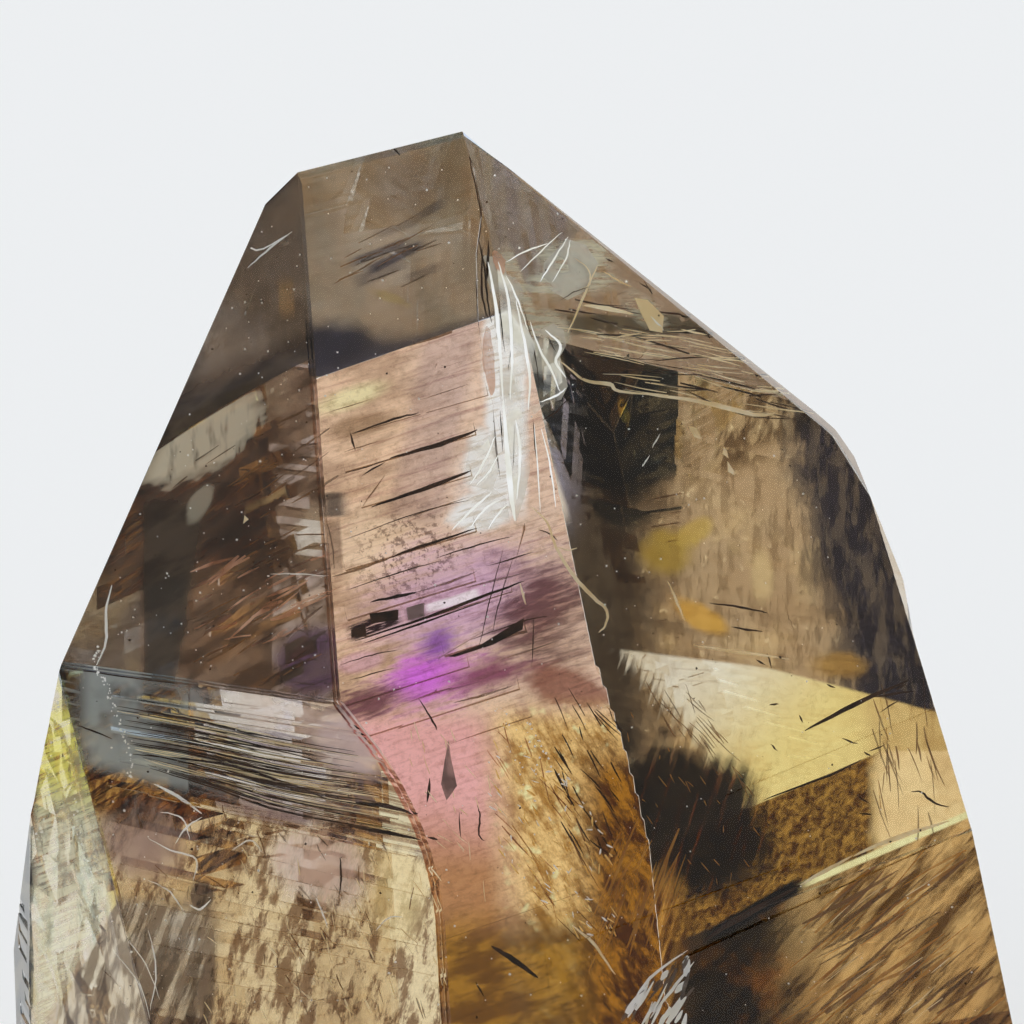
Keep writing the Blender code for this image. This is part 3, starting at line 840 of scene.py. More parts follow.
def back_left_side():
    """Seen straight through the front: cream with level lines, the violet zone, then pink and gold."""
    g, x, y = zoning("back_left_side", (222, 219, 213))
    a, b = g.along((3.4, 4.74), (4.77, 4.30))
    mottle = g.noise(a * 0.7, b * 1.8, 2.4, 3, 0.6, seed=11.0)
    fine = g.noise(a * 0.5, b * 3.0, 7.0, 2, 0.6, seed=12.0)
    grain = g.noise(x, y, 11.0, 3, 0.75, seed=13.0)
    g.colour = g.pair((214, 180, 148), mottle.step(0.36, 0.64), (178, 146, 118))
    g.paint(x.step(3.8, 4.6) * 0.75, 216, 188, 166)
    g.paint(g.blob((3.72, 5.45), (0.42, 0.36), 0, 1.0, mottle.swing()) * 0.8, 226, 190, 158)
    g.paint(g.blob((3.5, 3.98), (0.35, 0.10), 20, 1.0) * 0.8, 236, 206, 156)
    g.paint(g.blob((3.62, 4.25), (0.32, 0.10), 14, 1.0, mottle.swing(1.5)) * 0.75, 134, 104, 76)
    # a grey band that comes down from the growth step
    g.stain(g.side((4.52, 3.30), (4.10, 5.40)).abs().step(0.34, 0.18) * y.step(5.5, 5.0), (0.78, 0.76, 0.82))
    g.paint(g.blob((4.78, 4.78), (0.22, 0.36), 0, 0.8, mottle.swing(1.5)) * 0.5, 226, 206, 196)
    # violet: pale above, vivid in the middle, wine-red to both sides, pink below
    pale = g.blob((4.62, 5.98), (0.84, 0.46), 14, 1.4, mottle.swing(1.2) + fine.swing(0.8))
    g.paint(pale * 0.72, 186, 146, 182)
    wine = g.blob((5.42, 6.18), (0.46, 0.56), -20, 1.5, mottle.swing(2.2) + fine.swing(1.6))
    g.lay(wine * 0.9, g.pair((84, 48, 48), fine.step(0.48, 0.66), (124, 84, 78)))
    g.paint(g.blob((5.66, 6.86), (0.42, 0.20), -12, 0.6, mottle.swing(1.4)) * 0.85, 130, 82, 66)
    pink = y.step(6.95, 7.35) * g.side((4.9, 6.9), (5.15, 9.0)).step(-0.25, 0.30)
    gold = y.step(6.9, 7.3) * g.side((4.9, 6.9), (5.15, 9.0)).step(0.30, -0.25)
    g.lay(pink, g.pair((216, 162, 158), y.step(7.8, 8.8), (168, 122, 84)))
    streak_a, streak_b = g.along((5.0, 7.0), (6.0, 8.5))
    streak = g.noise(streak_a * 0.8, streak_b * 2.0, 3.6, 5, 0.72, seed=14.0)
    g.lay(gold, g.pair((156, 114, 58), streak.step(0.36, 0.62), (222, 184, 122)))
    g.paint(gold * g.noise(x, y, 5.0, 2, seed=15.0).step(0.58, 0.72), 240, 214, 160)
    g.lay(y.step(8.9, 9.5) * 0.9, g.pair((92, 62, 14), mottle.step(0.38, 0.62), (146, 106, 38)))
    g.lay(x.step(5.6, 6.1) * y.step(7.2, 7.8), g.pair((70, 42, 12), streak.step(0.4, 0.62), (148, 100, 36)))
    vivid = g.blob((4.34, 6.78), (0.50, 0.27), 18, 1.1, mottle.swing(1.6) + fine.swing(1.0))
    g.paint(vivid * 0.92, 196, 118, 184)
    g.paint(g.blob((4.20, 6.76), (0.24, 0.17), 10, 1.4, fine.swing(1.2)), 196, 104, 200)
    g.paint(g.blob((4.38, 6.43), (0.17, 0.13), 40, 1.4, fine.swing(1.4)) * 0.85, 124, 70, 150)
    g.paint(g.blob((4.9, 6.74), (0.40, 0.15), 14, 1.4, mottle.swing(1.6) + fine.swing()) * 0.9, 122, 62, 88)
    g.paint(g.blob((3.66, 7.02), (0.34, 0.15), 12, 1.2, fine.swing(2.4)) * 0.9, 104, 62, 72)
    g.paint(g.blob((3.60, 6.62), (0.24, 0.10), 12, 0.6) * 0.7, 196, 152, 160)
    g.paint(g.bar((3.50, 6.34), (3.98, 6.16), 0.06, 0.03) * fine.step(0.36, 0.5), 50, 38, 40)
    g.paint(g.bar((4.07, 6.16), (4.24, 6.10), 0.06, 0.02) * 0.8, 98, 78, 80)
    g.paint(g.bar((4.27, 6.09), (4.78, 5.93), 0.035, 0.02) * 0.9, 232, 206, 226)
    g.paint(g.bar((3.22, 5.05), (3.45, 5.04), 0.10, 0.04) * 0.9, 84, 74, 66)
    g.paint(g.bar((3.33, 5.2), (3.36, 5.72), 0.05, 0.04) * 0.7, 126, 100, 80)
    level = g.noise(a * 0.3, b * 6.0, 3.0, 4, 0.7, seed=16.0)
    g.stain(level.step(0.50, 0.66) * y.step(7.4, 6.9) * 0.8, (0.70, 0.60, 0.62))
    speckle = g.blob((4.12, 5.55), (0.5, 0.42), 20, 0.9, mottle.swing())
    g.stain(speckle * grain.step(0.50, 0.60) * 0.8, (0.36, 0.32, 0.32))
    g.stain(fine.step(0.48, 0.72) * 0.6, (0.72, 0.66, 0.62))
    g.stain(grain.step(0.44, 0.7) * 0.6, (0.66, 0.62, 0.58))
    crack = (x - 5.06 + mottle.swing(0.14)).abs().step(0.26, 0.16) * y.step(2.5, 2.6) * y.step(5.3, 4.9)
    crack = crack.max(g.blob((4.84, 4.64), (0.20, 0.34), 0, 0.5, mottle.swing(0.8)))
    crack = crack.max(g.blob((4.82, 5.12), (0.34, 0.20), 10, 0.5, mottle.swing(0.8)))
    g.lay(crack, g.mix((1.0, 1.0, 1.0), fine.step(0.48, 0.66), (0.78, 0.72, 0.64)))
    return g.sheet()


def back_right_side():
    """Seen through the right of the front: dark (partly painted shade) and speckled above, the cream window,
    then brown fibres.
    """
    g, x, y = zoning("back_right_side", (211, 201, 186))
    mottle = g.noise(x, y, 1.7, 3, 0.6, seed=21.0)
    grain = g.noise(x, y, 10.0, 3, 0.75, seed=22.0)
    lean_a, lean_b = g.along((6.9, 7.0), (6.4, 8.6))
    hairs = g.noise(lean_a * 0.35, lean_b * 5.0, 3.0, 3, 0.65, seed=23.0)
    # painted shade: the dark at the left of this zone, and its darker parts further on, are dark filters
    # where the view refracts toward dark, over the crystal's own smoky brown
    g.colour = g.pair((76, 64, 50), (x + mottle.swing(0.8)).step(6.25, 6.95), (162, 134, 98))
    g.paint(mottle.step(0.45, 0.68) * y.step(4.6, 5.6) * 0.7 * x.step(6.3, 6.9), 196, 166, 116)
    hatch = g.noise(x * 2.6, y * 0.7, 3.6, 3, 0.7, seed=28.0)
    g.stain(hatch.step(0.46, 0.62) * 0.8, (0.62, 0.58, 0.52))
    flecks = g.noise(x * 1.2, y, 6.0, 4, 0.7, seed=29.0)
    g.paint(flecks.step(0.60, 0.72) * x.step(6.0, 6.6) * 0.8, 206, 180, 136)
    g.lay((x - (y - 4.2) * 0.22 + mottle.swing(0.5) + hatch.swing(0.6)).step(7.62, 8.04),
          g.pair((48, 44, 46), hatch.step(0.45, 0.62), (86, 74, 62)))
    g.paint(x.step(5.95, 5.55) * y.step(5.6, 4.6) * 0.8, 140, 134, 142)
    for at, size, angle, colour in (
        ((6.62, 5.52), (0.24, 0.20), 20, (152, 124, 52)), ((6.98, 5.30), (0.16, 0.10), 30, (170, 140, 70)),
        ((7.00, 6.16), (0.28, 0.10), -32, (190, 142, 58)), ((8.36, 6.66), (0.24, 0.12), 0, (150, 112, 56)),
        ((7.62, 5.72), (0.10, 0.22), 5, (190, 164, 116)), ((6.24, 4.10), (0.05, 0.12), 15, (196, 160, 70)),
    ):
        g.paint(g.blob(at, size, angle, 0.9, mottle.swing(1.8)) * 0.8, *colour)
    bands = g.noise(x * 0.5, y * 4.0 - x * 0.5, 2.0, 2, seed=24.0)
    g.stain(y.step(5.9, 6.1) * bands.step(0.45, 0.62) * 0.7, (0.70, 0.66, 0.62))
    # the cream window
    left_top = g.side((6.72, 6.56), (7.85, 6.70))
    right_top = g.side((7.60, 6.66), (8.56, 6.91))
    left = g.side((6.28, 6.56), (7.54, 8.10))
    ragged = hairs.swing(0.7)
    window = left_top.step(-0.02, 0.02) * right_top.step(-0.02, 0.02) * (left * -1 + ragged).step(-0.10, 0.10)
    cream = g.pair((255, 230, 174), g.along((6.7, 6.6), (8.2, 8.2))[0].step(0.1, 1.5), (222, 184, 116))
    cream = g.mix(cream, (x + mottle.swing(0.3)).step(8.5, 8.9), g.seen(186, 156, 98))
    upright = g.noise(x * 3.2, y * 0.8, 3.0, 2, seed=25.0)
    cream = g.tint(cream, upright.step(0.5, 0.65) * x.step(8.6, 8.9) * 0.8, (0.78, 0.72, 0.66))
    cream = g.tint(cream, mottle.step(0.5, 0.75) * 0.4, (0.92, 0.88, 0.80))
    g.lay(window, cream)
    # under the window: crisp edge, gold veins on dark brown, then the pale line and the streaked foot
    streak_a, streak_b = g.along((9.0, 9.4), (9.7, 8.6))
    edge = g.side((7.63, 8.02), (8.61, 7.60)).step(-0.012, 0.012) * y.step(7.5, 7.52)
    veins = g.noise(streak_a * 1.6, streak_b * 2.2, 5.0, 4, 0.75, seed=26.0)
    brown = g.pair((66, 42, 14), veins.step(0.36, 0.70), (152, 112, 52))
    g.lay(edge * (x - 8.75 + mottle.swing(0.4)).step(0.12, -0.12), brown)
    g.paint(edge * (x - 8.75 + mottle.swing(0.4)).step(-0.12, 0.12), 206, 176, 122)
    foot_line = g.side((8.00, 8.86), (9.50, 8.22))
    bars = g.noise(streak_a * 0.45, streak_b * 2.6, 2.6, 5, 0.7, seed=27.0)
    foot = g.pair((80, 54, 24), bars.step(0.36, 0.64), (188, 150, 94))
    foot = g.mix(foot, x.step(8.5, 7.5) * 0.96, g.pair((28, 12, 2), mottle.step(0.50, 0.70), (96, 60, 16)))
    g.lay(foot_line.step(0.0, 0.05), foot)
    g.paint(foot_line.abs().step(0.045, 0.02) * x.step(7.9, 8.2), 232, 200, 142)
    g.paint(g.bar((7.10, 9.36), (8.00, 8.84), 0.05, 0.04), 26, 16, 8)
    dark = g.blob((6.86, 8.16), (0.95, 0.66), -40, 0.5, mottle.swing(1.0) + hairs.swing(0.5))
    g.lay(dark * 0.96, g.pair((24, 8, 2), hairs.step(0.54, 0.70), (78, 42, 10)))
    low = y.step(8.6, 9.0) * x.step(6.9, 6.5)
    g.lay(low, g.pair((84, 50, 8), hairs.step(0.42, 0.58), (184, 132, 62)))
    g.stain(grain.step(0.42, 0.68) * 0.65, (0.80, 0.78, 0.74))
    crack = g.blob((5.34, 3.62), (0.30, 0.62), 0, 0.4, mottle.swing(0.7))
    g.lay(crack, g.mix((1.0, 1.0, 0.97), hairs.step(0.45, 0.60), (0.62, 0.58, 0.50)))
    g.lay(g.bar((5.16, 4.1), (5.52, 5.2), 0.14, 0.08) * 0.9, (0.98, 0.90, 0.80))
    return g.sheet()


lining("front_zoning_tip", FRONT, ("back_left_tip",), NEAR, back_left_tip())
lining("front_zoning_upper_right", FRONT, ("back_right_tip",), NEAR, back_right_tip())
lining("front_zoning_middle", FRONT, ("back_left_side",), NEAR, back_left_side())
BEHIND = ("back_left_tip", "back_right_tip", "back_left_side")
REST = [name for name in NAMES if name not in BEHIND]
lining("front_zoning_right", FRONT, REST, NEAR, back_right_side())

# ---------------------------------------------------------------- zoning at the left
# As at the front, these linings hold painted shade besides the crystal's colour zones, and the one below the
# left tip face a painted reflection of the sky.


def front_left_tip():
    """The left of the tip: smoky bands crossed by soft leaning streaks, a pale patch, a violet corner."""
    g, x, y = zoning("front_left_tip", (176, 153, 124))
    a, b = g.along((2.0, 6.4), (2.7, 5.98))
    soft = g.noise(a * 0.6, b * 1.6, 2.2, 3, 0.6, seed=31.0)
    cloud = g.noise(x, y, 1.3, 2, seed=32.0)
    grain = g.noise(x, y, 10.0, 3, 0.75, seed=33.0)
    g.colour = g.pair((146, 118, 94), soft.step(0.36, 0.60), (84, 62, 46))
    upper = g.side((1.94, 3.90), (3.06, 3.42))
    g.lay(upper.step(0.05, -0.15), g.pair((142, 128, 112), cloud.step(0.4, 0.6), (106, 95, 84)))
    lower = g.side((1.656, 4.41), (3.10, 3.56)) + (x - 2.4).pow(2.0) * -0.05
    g.paint(upper.step(-0.20, 0.12) * lower.step(0.015, -0.015), 48, 48, 50)
    pale = g.blob((2.02, 4.36), (0.74, 0.32), 35, 0.9, soft.swing(1.9)) * lower.step(-0.01, 0.02)
    wavy = g.noise(x * 3.0, y * 0.8, 3.0, 2, seed=34.0)
    g.lay(pale, g.pair((214, 204, 174), wavy.step(0.50, 0.70), (176, 158, 128)))
    g.paint(g.blob((2.00, 5.04), (0.16, 0.26), -30, 0.9, soft.swing()) * 0.8, 190, 172, 134)
    shade = (x - 1.44).step(-0.05, 0.04) * (x - 1.95 + (y - 5.6) * 0.16).step(0.06, -0.06)
    g.paint(shade * y.step(4.85, 5.15), 44, 46, 46)
    g.lay((x - 1.42).step(0.03, -0.05) * y.step(4.9, 5.3),
          g.pair((160, 144, 124), cloud.step(0.42, 0.6), (118, 106, 94)))
    g.paint(g.blob((3.12, 5.32), (0.16, 0.28), -25, 0.8, soft.swing(1.2)) * 0.8, 182, 154, 116)
    for at, size in (
        ((2.12, 5.84), (0.20, 0.06)), ((2.38, 6.2), (0.38, 0.07)),
        ((3.06, 6.0), (0.22, 0.05)), ((2.3, 6.52), (0.30, 0.06)),
    ):
        g.paint(g.blob(at, size, 30, 1.0, soft.swing()) * 0.7, 168, 132, 98)
    g.paint(g.blob((3.15, 6.62), (0.40, 0.34), 20, 0.6, soft.swing(1.2)) * 0.95, 58, 40, 50)
    g.paint(g.bar((2.86, 2.82), (2.87, 3.14), 0.05, 0.05) * 0.6, 176, 138, 84)
    g.stain(grain.step(0.42, 0.66) * 0.6, (0.62, 0.60, 0.58))
    veil = pale * wavy.step(0.15, 0.50) * 0.7
    veil = veil.max(g.bar((2.50, 2.66), (2.90, 2.34), 0.05, 0.08) * soft.step(0.4, 0.6) * 0.35)
    veil = veil.max(g.blob((2.00, 5.04), (0.12, 0.24), -30, 0.9, soft.swing()) * 0.4)
    haze = soft.step(0.62, 0.36) * 0.16 + 0.12
    return g.sheet(veil.max(haze), g.mix(rgb(158, 134, 112), veil.step(0.2, 0.4), rgb(244, 232, 204)))


def front_left_side():
    """Below the left tip face: a clear grey strip of painted sky reflection, fanning striae, a pink patch and
    golden fibres.
    """
    g, x, y = zoning("front_left_side", (202, 188, 168))
    cloud = g.noise(x, y, 1.6, 3, 0.6, seed=41.0)
    fan = g.side((0.9, 7.1), (3.6, 7.75))
    striae = g.noise(x * 0.25, fan * 8.0, 2.6, 3, 0.6, seed=42.0)
    grain = g.noise(x, y, 11.0, 3, 0.75, seed=43.0)
    lean_a, lean_b = g.along((2.6, 8.4), (2.1, 10.2))
    crumple = g.noise(lean_a * 0.6, lean_b * 1.6, 4.6, 5, 0.72, seed=44.0)
    g.colour = g.pair((212, 174, 128), crumple.step(0.44, 0.58), (122, 94, 66))
    # the strip along the top of the face: its striae belong to the crystal, and its grey, bluish left part is
    # a painted reflection of the sky
    top = g.side((1.25, 7.72), (3.5, 8.32)).step(0.12, -0.10)
    g.lay(top, g.pair((200, 186, 178), striae.step(0.42, 0.60), (126, 112, 108)))
    g.lay(top * (x - 1.885).step(0.012, -0.012),
          g.pair((166, 170, 166), cloud.step(0.4, 0.6), (138, 142, 140)))
    cloudy = g.blob((2.6, 7.12), (0.86, 0.18), -8, 0.5, cloud.swing(1.2)) * (x - 1.89).step(-0.01, 0.015)
    g.lay(cloudy * 0.9, g.pair((232, 216, 200), cloud.step(0.52, 0.64), (176, 164, 158)))
    g.paint(g.blob((3.46, 7.42), (0.34, 0.24), -40, 1.0, cloud.swing()), 214, 188, 204)
    right = x.step(3.35, 3.6) * top
    g.lay(right * 0.85, g.pair((216, 184, 132), striae.step(0.42, 0.60), (128, 98, 62)))
    g.paint(g.blob((3.20, 8.70), (0.46, 0.30), -20, 1.2, crumple.swing(2.6)) * 0.95, 240, 202, 186)
    g.paint(g.blob((1.35, 8.35), (0.40, 0.34), -20, 0.8, crumple.swing(1.4)) * 0.8, 124, 104, 96)
    g.paint(g.blob((2.55, 8.05), (0.6, 0.14), -14, 0.8, crumple.swing(1.8)) * 0.75, 110, 84, 76)
    rays_a, rays_b = g.along((1.5, 9.2), (1.1, 10.2))
    rays = g.noise(rays_a * 0.3, rays_b * 3.6, 2.6, 3, 0.65, seed=45.0)
    corner = g.side((0.9, 8.9), (2.2, 9.0)).step(-0.05, 0.15) * (x - 2.1 + cloud.swing(0.4)).step(0.14, -0.14)
    g.lay(corner * 0.9, g.pair((96, 84, 70), rays.step(0.46, 0.66), (186, 174, 152)))
    g.paint(g.blob((2.02, 8.95), (0.12, 0.14), 0, 0.5, crumple.swing()) * 0.85, 52, 44, 38)
    g.paint(g.blob((2.08, 9.85), (0.07, 0.5), -4, 0.8, crumple.swing()) * 0.7, 70, 56, 42)
    g.paint(g.blob((3.95, 8.95), (0.3, 0.5), 6, 0.8, crumple.swing(1.2)) * 0.6, 208, 172, 118)
    g.stain(grain.step(0.42, 0.68) * 0.6, (0.74, 0.70, 0.64))
    # painted reflection: a grey-blue veil over the top strip's left part stands for the sky's sheen on the
    # face
    strip = top * (x - 1.885).step(0.012, -0.012) * x.step(0.7, 0.95)
    veil = strip * cloud.step(0.25, 0.55) * 0.72
    veil = veil.max(cloudy * cloud.step(0.64, 0.48) * 0.45)
    veil = veil.max(g.blob((3.46, 7.44), (0.40, 0.26), -40, 1.0, cloud.swing()) * 0.78)
    veil = veil.max(g.blob((3.20, 8.66), (0.46, 0.30), -20, 1.2, crumple.swing(2.6)) * 0.7)
    veil = veil.max(g.blob((1.5, 8.5), (0.40, 0.34), -20, 1.2, crumple.swing(2.6)) * 0.4)
    veil = veil.max(top * striae.step(0.62, 0.40) * 0.34)
    veil = veil.max(crumple.step(0.62, 0.44) * y.step(8.0, 8.4) * 0.14)
    # grey-blue at the left for the painted sky reflection, pinkish white for the cloudy and pink patches
    tone = g.mix(rgb(192, 198, 194), x.step(1.9, 2.8), rgb(244, 222, 216))
    return g.sheet(veil, g.mix(tone, y.step(7.9, 8.3), rgb(240, 206, 186)))


def left_corner():
    """The knocked-off corner: yellow-green with fine cross lines, greyer and healed lower down."""
    g, x, y = zoning("left_corner", (204, 192, 174))
    cross = g.noise(x * 0.7, y * 6.0 + x * 2.5, 3.0, 2, 0.6, seed=51.0)
    healed = g.noise(x * 3.0, y * 0.9 - x * 1.4, 2.2, 3, 0.65, seed=52.0)
    g.colour = g.pair((255, 248, 132), g.noise(x, y, 3.0, 2, seed=53.0).step(0.42, 0.58), (255, 252, 196))
    g.paint(cross.step(0.44, 0.60) * y.step(7.3, 7.7) * 0.6, 204, 206, 132)
    g.lay(y.step(7.75, 8.25), g.pair((236, 232, 210), healed.step(0.48, 0.60), (180, 182, 162)))
    rust = g.side((0.86, 7.70), (1.12, 9.00)) * -1 + healed.swing(0.08)
    g.paint(rust.step(-0.10, 0.02) * y.step(8.1, 8.5) * 0.8, 216, 184, 104)
    g.paint(healed.step(0.60, 0.70) * y.step(8.2, 8.7) * 0.8, 96, 94, 84)
    g.paint(y.step(9.35, 9.6) * healed.step(0.5, 0.6) * 0.6, 198, 170, 112)
    limit = x - 1.15 - cross.swing(0.05) + (y - 9.05).max(0.0) * 0.55
    rays = g.noise(x * 2.0, y * 0.6 + x, 5.0, 2, seed=54.0)
    g.lay(limit.step(-0.02, 0.02), g.pair((126, 110, 88), rays.step(0.44, 0.6), (196, 184, 160)))
    navy = (x - 0.26 + (y - 9.0) * -0.02 + healed.swing(0.10)).step(0.04, -0.03)
    g.paint(navy, 64, 72, 78)
    pale = (cross * 0.5 + healed * 0.5).step(0.40, 0.56) * limit.step(0.0, -0.06) * navy.step(0.5, 0.1) * 0.3
    return g.sheet(pale, g.mix(rgb(255, 252, 160), y.step(7.6, 8.6), rgb(255, 252, 226)))


def corner_frost():
    """The healed skin of the knocked-off corner: a thin crust, yellow-green above and whiter below."""
    g = Graph("corner_frost")
    x, y = g.x, g.y
    cross = g.noise(x * 0.7, y * 6.0 + x * 2.5, 3.0, 3, 0.65, seed=51.0)
    healed = g.noise(x * 3.0, y * 0.9 - x * 1.4, 2.2, 5, 0.75, seed=52.0)
    limit = x - 1.13 + (y - 9.05).max(0.0) * 0.55
    share = cross.step(0.66, 0.42) * healed.step(0.70, 0.46)
    share = share * limit.step(0.0, -0.08) * (x - 0.30).step(0.0, 0.12)
    g.colour = (1.0, 1.0, 1.0)
    return g.sheet(share * y.step(6.95, 7.2) * 0.6,
                   g.mix(rgb(240, 232, 118), y.step(7.7, 8.3), rgb(236, 232, 200)))


def left_edge():
    """The thin strip left of the knocked-off corner: dark and bluish."""
    g, x, y = zoning("left_edge", (215, 208, 198))
    cloud = g.noise(x * 2.0, y, 4.0, 2, seed=56.0)
    g.colour = g.pair((58, 66, 74), cloud.step(0.40, 0.60), (116, 116, 106))
    return g.sheet()


lining("left_zoning_tip", ("front_left_tip",), (), NEAR, front_left_tip())
lining("left_zoning_side", ("front_left_side", "front_left_foot"), (), NEAR, front_left_side())
lining("corner_edge_zoning", ("left_side", "left_foot"), (), NEAR, left_edge())
lining("corner_zoning", ("left_corner",), (), NEAR, left_corner())
lining("corner_frost", ("left_corner",), (), -0.012, corner_frost())


def side_zoning(name, seed, light, dark):
    """Pale smoky mottling and level streaks, for the sheets under the faces of SIDES."""
    g = Graph(f"{name}_zoning", "face_mm")
    u, v = g.x * 0.31, g.y * 0.31
    cloud = g.noise(u, v, 1.4, 3, 0.6, seed=seed)
    level = g.noise(u * 0.4, v * 2.6, 3.0, 3, 0.6, seed=seed + 1)
    g.colour = g.mix(light, cloud.step(0.40, 0.62), dark)
    g.stain(level.step(0.54, 0.66), dark)
    return g.sheet()


SIDES = (
    ("left_tip", (0.98, 0.97, 0.95), (0.93, 0.90, 0.86)),
    ("left_side", (0.98, 0.97, 0.95), (0.93, 0.90, 0.86)),
    ("left_foot", (0.98, 0.97, 0.94), (0.93, 0.89, 0.82)),
    ("right_tip", (0.98, 0.97, 0.95), (0.92, 0.90, 0.86)),
    ("right_corner", (0.97, 0.96, 0.94), (0.90, 0.87, 0.83)),
    ("right_shoulder", (0.97, 0.96, 0.94), (0.90, 0.87, 0.83)),
    ("right_upper_side", (0.97, 0.96, 0.94), (0.90, 0.87, 0.83)),
    ("right_lower_side", (0.97, 0.95, 0.92), (0.90, 0.86, 0.79)),
    ("right_foot", (0.97, 0.95, 0.91), (0.90, 0.85, 0.76)),
    ("front_right_foot", (0.97, 0.95, 0.91), (0.92, 0.86, 0.76)),
    ("front_left_foot", (0.97, 0.95, 0.91), (0.92, 0.86, 0.76)),
    ("back_left_tip", (0.98, 0.97, 0.96), (0.94, 0.92, 0.89)),
    ("back_right_tip", (0.98, 0.97, 0.95), (0.94, 0.92, 0.88)),
    ("back_left_side", (0.98, 0.97, 0.96), (0.95, 0.93, 0.90)),
    ("back_right_side", (0.98, 0.97, 0.95), (0.95, 0.92, 0.88)),
)
for index, (face, light, dark) in enumerate(SIDES):
    sheet(f"zoning_{face}", face, BACK, side_zoning(face, 60.0 + 5 * index, light, dark))


def cut_foot():
    """The matt, pale cut that it rests on."""
    g = Graph("cut_foot", "face_mm")
    u, v = g.x, g.y
    cloud = g.noise(u, v, 0.22, 3, seed=3.3)
    grain = g.noise(u, v, 1.8, 3, 0.65, seed=5.3)
    g.colour = g.mix(rgb(248, 243, 236), cloud.step(0.35, 0.65), rgb(226, 214, 198))
    g.stain(grain.step(0.4, 0.7) * 0.6, (0.86, 0.82, 0.78))
    shader = g.nt.nodes.new("ShaderNodeBsdfPrincipled")
    g.put(g.colour, shader.inputs["Base Color"])
    shader.inputs["Roughness"].default_value = 0.8
    g.nt.links.new(shader.outputs[0], g.out.inputs["Surface"])
    return g.mat


sheet("cut_foot", "foot", 0.03, cut_foot(), 0.01)

# ---------------------------------------------------------------- fractures, growth lines and inclusions

BLACK = dull("dark_line", (30, 18, 12), (64, 44, 32))
BROWN = dull("brown_line", (84, 54, 30), (128, 92, 58), 0.25)
CREAM = dull("cream_line", (250, 236, 200), (232, 208, 158))
WHITE = dull("white_glint", (255, 255, 252), (240, 238, 226))
FROST = dull("frosted_crack", (255, 253, 246), (236, 232, 214), 0.7, 700.0)
GREY = dull("grey_flake", (120, 108, 98), (84, 72, 66), 0.2)
GOLD = dull("gold_glint", (255, 226, 150), (226, 176, 88))
AMBER = dull("amber_fibre", (206, 150, 70), (160, 106, 42), 0.25)
ORANGE = dull("orange_stain", (206, 138, 96), (236, 190, 160), 0.4)

skin = under(0.12)
shallow = under(0.28)


def lines(name, material, place, items, wobble=0.4):
    """One piece of strokes. Each item is a width and then points, in the photograph's pixels."""
    strokes = Strokes()
    for seed, (width, *points) in enumerate(items):
        strokes.ribbon(place, points, width, wobble=wobble, seed=seed)
    strokes.finish(name, material)


def patches(name, material, place, outlines, grid=7.0, rough=1.0):
    """One piece of filled outlines, in the photograph's pixels."""
    strokes = Strokes()
    for seed, points in enumerate(outlines):
        strokes.patch(place, points, grid, rough, seed)
    strokes.finish(name, material)


# level growth lines in the cream band and the violet zone
lines("level_lines", BLACK, shallow, (
    (2.4, (351, 434), (394, 419), (419, 413)), (5.0, (390, 458), (441, 444), (477, 430)),
    (1.2, (343, 474), (366, 467), (392, 458)), (4.6, (372, 507), (432, 486), (471, 471)),
    (3.2, (390, 558), (419, 547), (477, 528)), (1.6, (436, 558), (471, 547), (513, 536)),
    (3.6, (370, 602), (398, 596), (417, 592)), (3.4, (355, 641), (425, 618), (492, 593), (524, 581)),
    (2.2, (364, 643), (419, 624), (488, 600)), (2.2, (419, 699), (433, 722), (437, 730)),
    (2.4, (350, 432), (355, 451)), (2.8, (428, 837), (438, 840)), (1.6, (459, 812), (461, 839)),
    (2.0, (477, 805), (480, 816), (479, 835), (485, 841)), (3.4, (430, 778), (427, 803)),
    (2.0, (476, 982), (484, 997)), (2.0, (362, 475), (385, 462)), (1.2, (344, 540), (420, 512), (470, 500)),
    (1.4, (346, 590), (400, 572), (440, 561)), (1.3, (340, 665), (372, 655), (398, 650)),
    (1.6, (488, 566), (534, 552)), (1.5, (470, 640), (520, 622), (548, 616)), (1.3, (350, 680), (394, 668)),
))
lines("level_lines_brown", BROWN, shallow, (
    (3.0, (332, 577), (362, 568), (392, 557)), (2.6, (417, 592), (450, 582), (477, 571)),
    (2.6, (466, 588), (524, 573)), (2.6, (454, 703), (484, 695), (513, 686)), (1.8, (385, 475), (362, 507)),
    (2.0, (326, 519), (332, 545), (334, 570)), (1.4, (344, 452), (380, 441)), (1.3, (400, 520), (470, 497)),
    (1.2, (420, 400), (470, 384)), (1.2, (330, 412), (372, 399)), (1.4, (500, 660), (560, 640)),
))
patches("dark_level_blocks", BLACK, shallow, (
    ((447, 656), (481, 645), (524, 618), (522, 630), (492, 645), (454, 657)),
    ((370, 613), (398, 610), (398, 620), (371, 623)), ((350, 629), (366, 625), (366, 636), (351, 638)),
))
patches("grey_flakes", GREY, shallow, (
    ((448, 739), (451, 758), (457, 786), (446, 801), (441, 784), (444, 760)),
    ((407, 607), (424, 603), (424, 616), (408, 620)),
    ((492, 404), (497, 440), (500, 481), (495, 450)),
), 5.0, 0.8)

